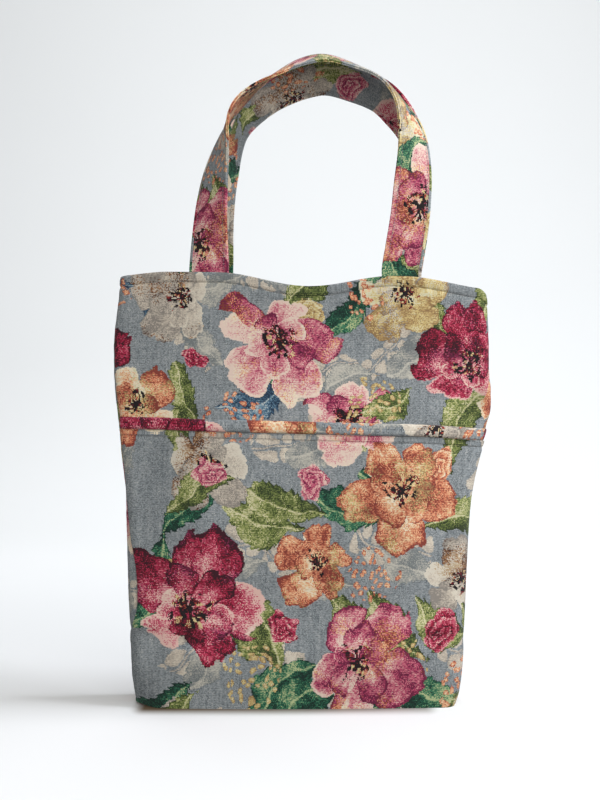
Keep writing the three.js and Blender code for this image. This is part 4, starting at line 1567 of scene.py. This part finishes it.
def swept_strap(frames, ring, cut, ripple, strap_wear_and_light=lambda p, q: 0.0):
    """Tube with the ring's section along the frames; its cloth map follows its length."""
    count = len(ring)
    girth = [0.0]
    for index in range(count):
        (p, q), (next_p, next_q) = ring[index], ring[(index + 1) % count]
        girth.append(girth[-1] + math.hypot(next_p - p, next_q - q))
    steps = len(frames) - 1

    def place(around, up):
        index = round(around * count)
        centre, across, normal, along, thin = frames[round(up * steps)]
        p, q = ring[index % count]
        lift = ripple(p, q, along)
        point = centre + across * p + normal * (q * thin + lift)
        return point, girth[index], along, strap_wear_and_light(p, q)

    mesh = placed_grid(count, steps, place)
    write_cloth_map(mesh, cut)
    close_tube(mesh, 0.01 * MM)
    return mesh


def blend_strap(piece, loft, side):
    """The strap follows the bag below its fold and its own carrier above it."""
    hinge = loft.sizes.body_height + HINGE_RISE
    start, end = (Vector((0, 0, hinge + away)) for away in STRAP_BEND)
    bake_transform(piece, "bag", f"{side}_carrier", start=start, end=end)


class BAG_OT_handles(bpy.types.Operator):
    """Padded handle straps with their webbing cores"""

    bl_idname = "bag.handles"
    bl_label = "Handles"

    def execute(self, context):
        loft = make_loft()
        handles = loft.handles
        for side, seed in STRAP_SEEDS.items():
            frames, _ = strap_frames(loft, side)

            def ripple(p, q, along, seed=seed):
                across, up, height = STRAP_WAVE
                wave = height * noise.noise(Vector((p / across, along / up, seed)))
                across, up, height = STRAP_PUCKER
                pucker = noise.noise(Vector((p / across, along / up, seed + 4 + math.copysign(1, q))))
                near_stitch = bell(abs(p) - handles.width / 2 + handles.stitch_inset, STRAP_PUCKER_REACH)
                return wave + math.copysign(height, q) * pucker * near_stitch

            # Painted highlight on the folded edges, which are also rubbed paler, and painted shade in the stitching's
            # groove and where the two folds meet
            def strap_wear_and_light(p, q):
                edge = handles.width / 2 - abs(p)
                shade, through, across = STRAP_JOIN_PAINTED_SHADE
                join = shade * bell(q, through) * bell(edge, across)
                return light_and_wear(edge, STRAP_EDGE_WEAR_AND_HIGHLIGHT) + light_and_wear(edge - handles.stitch_inset, STRAP_STITCH_PAINTED_SHADE) - join

            mesh = swept_strap(frames, strap_ring(handles), CUTS[f"{side}_handle"], ripple, strap_wear_and_light)
            piece = finish_piece(mesh, f"{side}_handle_strap", "floral_tapestry", "strap_tapestry")
            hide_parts(f"{side}_handle", f"{side}_handle_end_left", f"{side}_handle_end_right")
            blend_strap(piece, loft, side)
            self.core(loft, side, frames[END_STEPS:-END_STEPS])
        return {"FINISHED"}

    def core(self, loft, side, frames):
        half = loft.handles.width / 2 - CORE_INSET
        thin = loft.handles.core / 2
        ring = [(-half, -thin), (0, -thin), (half, -thin), (half, thin), (0, thin), (-half, thin)]
        mesh = swept_strap(frames, ring, (0.0, 0.0), lambda p, q, along: 0.0)
        piece = finish_piece(mesh, f"{side}_handle_webbing", "webbing_core", "handle_core")
        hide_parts(f"{side}_handle_core")
        blend_strap(piece, loft, side)


# Stitching


# Half a stitch: share of the pitch along the row, and half width and half height of its thread
STITCH_SIZE = (0.4, 0.3 * MM, 0.26 * MM)

# How near a row of stitches comes to the side seams, and the step that its direction is taken from
STITCH_REACH = 0.985
STITCH_STEP = 0.004

# How far the thread's middle is outside the cloth, where less than nothing is sunk in its groove
RIM_THREAD_OUT = 0.15 * MM
POCKET_THREAD_OUT = -0.75 * MM
STRAP_THREAD_OUT = 0.1 * MM


def sew(length, where, pitch):
    """Row of stitches: where(share) gives a stitch's middle, direction and outward side."""
    mesh = bmesh.new()
    count = int(length / pitch)
    long, wide, high = STITCH_SIZE
    size = Matrix.Diagonal((long * pitch, wide, high, 1))
    for index in range(count):
        middle, along, out = where((index + 0.5) / count)
        side = out.cross(along).normalized()
        turned = Matrix((along.normalized(), side, out.normalized())).transposed().to_4x4()
        bmesh.ops.create_icosphere(
            mesh, subdivisions=1, radius=1.0, matrix=Matrix.Translation(middle) @ turned @ size,
        )
    return mesh


def wall_route(loft, side, height, inset):
    """Length of a row of stitches along one side of the body, and its stitches' places on the cloth."""
    length = 2 * loft.section(side, loft.sizes.body_height).length

    def thread_point(share, out=0.0):
        z = height(share)
        distance = loft.along_panel(side, share, z)
        return loft.point(side, z, distance, inset(distance, z) - out)

    def where(share_along):
        share = lerp(-STITCH_REACH, STITCH_REACH, share_along)
        middle = thread_point(share)
        direction = thread_point(share + STITCH_STEP) - thread_point(share - STITCH_STEP)
        return middle, direction, thread_point(share, 1 * MM) - middle

    return length, where


class BAG_OT_stitching(bpy.types.Operator):
    """Topstitching along the rim, the pocket and the handles"""

    bl_idname = "bag.stitching"
    bl_label = "Stitching"

    def execute(self, context):
        loft = make_loft()
        sizes = loft.sizes
        pitch = sizes.stitch_pitch

        def height(share):
            return loft.rim(share) - sizes.hem_stitch

        for side in ("front", "back"):
            def inset(u, z, side=side):
                out = loft.relief(side, u, z) + loft.seam_relief(side, u, z) + loft.hem(sizes.hem_stitch)
                return -(out + RIM_THREAD_OUT)

            mesh = sew(*wall_route(loft, side, height, inset), pitch)
            piece = finish_piece(mesh, f"{side}_rim_stitching", "topstitch_thread", "tapestry")
            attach(piece, "bag")
            self.handle(loft, side, pitch)

        def pocket_height(share):
            return loft.pocket_top(share) - loft.pocket.stitch_drop

        def pocket_inset(u, z):
            return -(loft.pocket_face + loft.pocket_out(u, z) + loft.seam_relief("front", u, z) + POCKET_THREAD_OUT)

        mesh = sew(*wall_route(loft, "front", pocket_height, pocket_inset), pitch)
        piece = finish_piece(mesh, "pocket_stitching", "topstitch_thread", "pocket_tapestry")
        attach(piece, "bag")
        return {"FINISHED"}

    def handle(self, loft, side, pitch):
        handles = loft.handles
        frames, total = strap_frames(loft, side)
        arch = frames[END_STEPS:-END_STEPS]
        mesh = bmesh.new()
        for p in (-1, 1):
            offset = p * (handles.width / 2 - handles.stitch_inset)
            for face in (-1, 1):
                def where(share_along, offset=offset, face=face):
                    row = share_along * (len(arch) - 2)
                    index = int(row)
                    (c0, a0, n0, *_), (c1, a1, n1, *_) = arch[index], arch[index + 1]
                    t = row - index
                    across, normal = a0.lerp(a1, t).normalized(), n0.lerp(n1, t).normalized()
                    lift = strap_half_thickness(handles, offset) + STRAP_THREAD_OUT
                    middle = c0.lerp(c1, t) + across * offset + normal * face * lift
                    return middle, c1 + a1 * offset - c0 - a0 * offset, normal * face

                row = sew(total, where, pitch)
                data = bpy.data.meshes.new("edge_row")
                row.to_mesh(data)
                row.free()
                mesh.from_mesh(data)
                bpy.data.meshes.remove(data)
        piece = finish_piece(mesh, f"{side}_handle_stitching", "topstitch_thread", "strap_tapestry")
        blend_strap(piece, loft, side)


# Stage

CAMERA_PLACE = (-2.5 * MM, -1345.1 * MM, 274 * MM)
CAMERA_LENS = 66.47
CAMERA_SENSOR = 36.0

# Studio sweep: width, depth of the floor before and behind the bag, height above the curve, its radius
SWEEP_SIZE = (7.0, 1.6, 2.0, 2.2)
SWEEP_ROWS = 60

# Lamps: name, place, what it faces, size, power and colour
LAMPS = (
    ("key_light", (1.5, -0.13, 2.1), (0, 0, 0.2), (1.1, 0.7), 49, (0.92, 0.95, 1.0)),
    ("front_light", (0.3, -2.65, 1.05), (0, 0, 0.3), (2.2, 1.5), 45, (1.0, 0.98, 0.93)),
    ("right_light", (0.95, -0.75, 0.55), (0, 0, 0.3), (0.5, 0.5), 4.2, (1.0, 0.98, 0.95)),
    ("back_light", (-0.5, 1.5, 1.8), (0, 0, 0.3), (1.2, 0.8), 9, (1.0, 1.0, 1.0)),
    ("backdrop_light", (0.4, 1.2, 2.3), (0.15, 3.5, 1.2), (2.4, 0.8), 45, (0.96, 0.985, 1.0)),
)
SURROUND_COLOUR = (1.0, 0.985, 0.95, 1)
SURROUND_STRENGTH = 0.27


def area_light(name, place, target, size, power, colour):
    data = bpy.data.lights.new(name, "AREA")
    data.shape = "RECTANGLE"
    data.size, data.size_y = size
    data.energy = power
    data.color = colour
    lamp = bpy.data.objects.new(name, data)
    bpy.context.scene.collection.objects.link(lamp)
    lamp.location = place
    lamp.visible_camera = False
    lamp.rotation_euler = (Vector(target) - Vector(place)).to_track_quat("-Z", "Y").to_euler()


class BAG_OT_stage(bpy.types.Operator):
    """Pale studio sweep, soft lights and the camera"""

    bl_idname = "bag.stage"
    bl_label = "Stage"

    def execute(self, context):
        scene = context.scene
        self.sweep()
        for lamp in LAMPS:
            area_light(*lamp)
        world = bpy.data.worlds.new("studio")
        scene.world = world
        world.use_nodes = True
        surround = world.node_tree.nodes["Background"]
        surround.inputs["Color"].default_value = SURROUND_COLOUR
        surround.inputs["Strength"].default_value = SURROUND_STRENGTH
        scene.view_settings.view_transform = "Standard"
        camera_data = bpy.data.cameras.new("camera")
        camera_data.lens = CAMERA_LENS
        camera_data.sensor_width = CAMERA_SENSOR
        camera = bpy.data.objects.new("camera", camera_data)
        scene.collection.objects.link(camera)
        camera.location = CAMERA_PLACE
        camera.rotation_euler = (math.pi / 2, 0, 0)
        scene.camera = camera
        return {"FINISHED"}

    def sweep(self):
        """Floor that curves up into a backdrop."""
        width, depth, height, radius = SWEEP_SIZE

        def place(across, up):
            run = depth * 2
            curve = radius * math.pi / 2
            distance = up * (run + curve + height)
            x = (across - 0.5) * width
            if distance < run:
                return Vector((x, distance - depth, 0)), 0, 0, 0
            if distance < run + curve:
                angle = (distance - run) / radius
                return Vector((x, depth + radius * math.sin(angle), radius * (1 - math.cos(angle)))), 0, 0, 0
            return Vector((x, depth + radius, radius + distance - run - curve)), 0, 0, 0

        sweep = add_object(placed_grid(2, SWEEP_ROWS, place), "studio_sweep", material("studio_floor"))
        sweep.visible_diffuse = False


class BAG_PT_sidebar(bpy.types.Panel):
    """Lists the bag's steps in the sidebar"""

    bl_idname = "BAG_PT_sidebar"
    bl_label = "Shopper bag"
    bl_space_type = "VIEW_3D"
    bl_region_type = "UI"
    bl_category = "Shopper bag"

    def draw(self, context):
        for operator in OPERATORS:
            self.layout.operator(operator.bl_idname)


GROUPS = {
    "bag_body": BodySizes,
    "bag_pocket": PocketSizes,
    "bag_handles": HandleSizes,
    "bag_colours": PlainColours,
}
OPERATORS = (
    BAG_OT_panels, BAG_OT_inside, BAG_OT_pocket, BAG_OT_pocket_roll, BAG_OT_handles, BAG_OT_stitching,
    BAG_OT_stage,
)


def register():
    for group in (*GROUPS.values(), *OPERATORS, BAG_PT_sidebar):
        bpy.utils.register_class(group)
    for name, group in GROUPS.items():
        setattr(bpy.types.Scene, name, bpy.props.PointerProperty(type=group))


def unregister():
    for name in GROUPS:
        delattr(bpy.types.Scene, name)
    for group in reversed((*GROUPS.values(), *OPERATORS, BAG_PT_sidebar)):
        bpy.utils.unregister_class(group)


def main():
    register()
    bpy.ops.bag.stage()
    bpy.ops.bag.panels()
    bpy.ops.bag.inside()
    bpy.ops.bag.pocket()
    bpy.ops.bag.pocket_roll()
    bpy.ops.bag.handles()
    bpy.ops.bag.stitching()


if __name__ == "__main__":
    main()
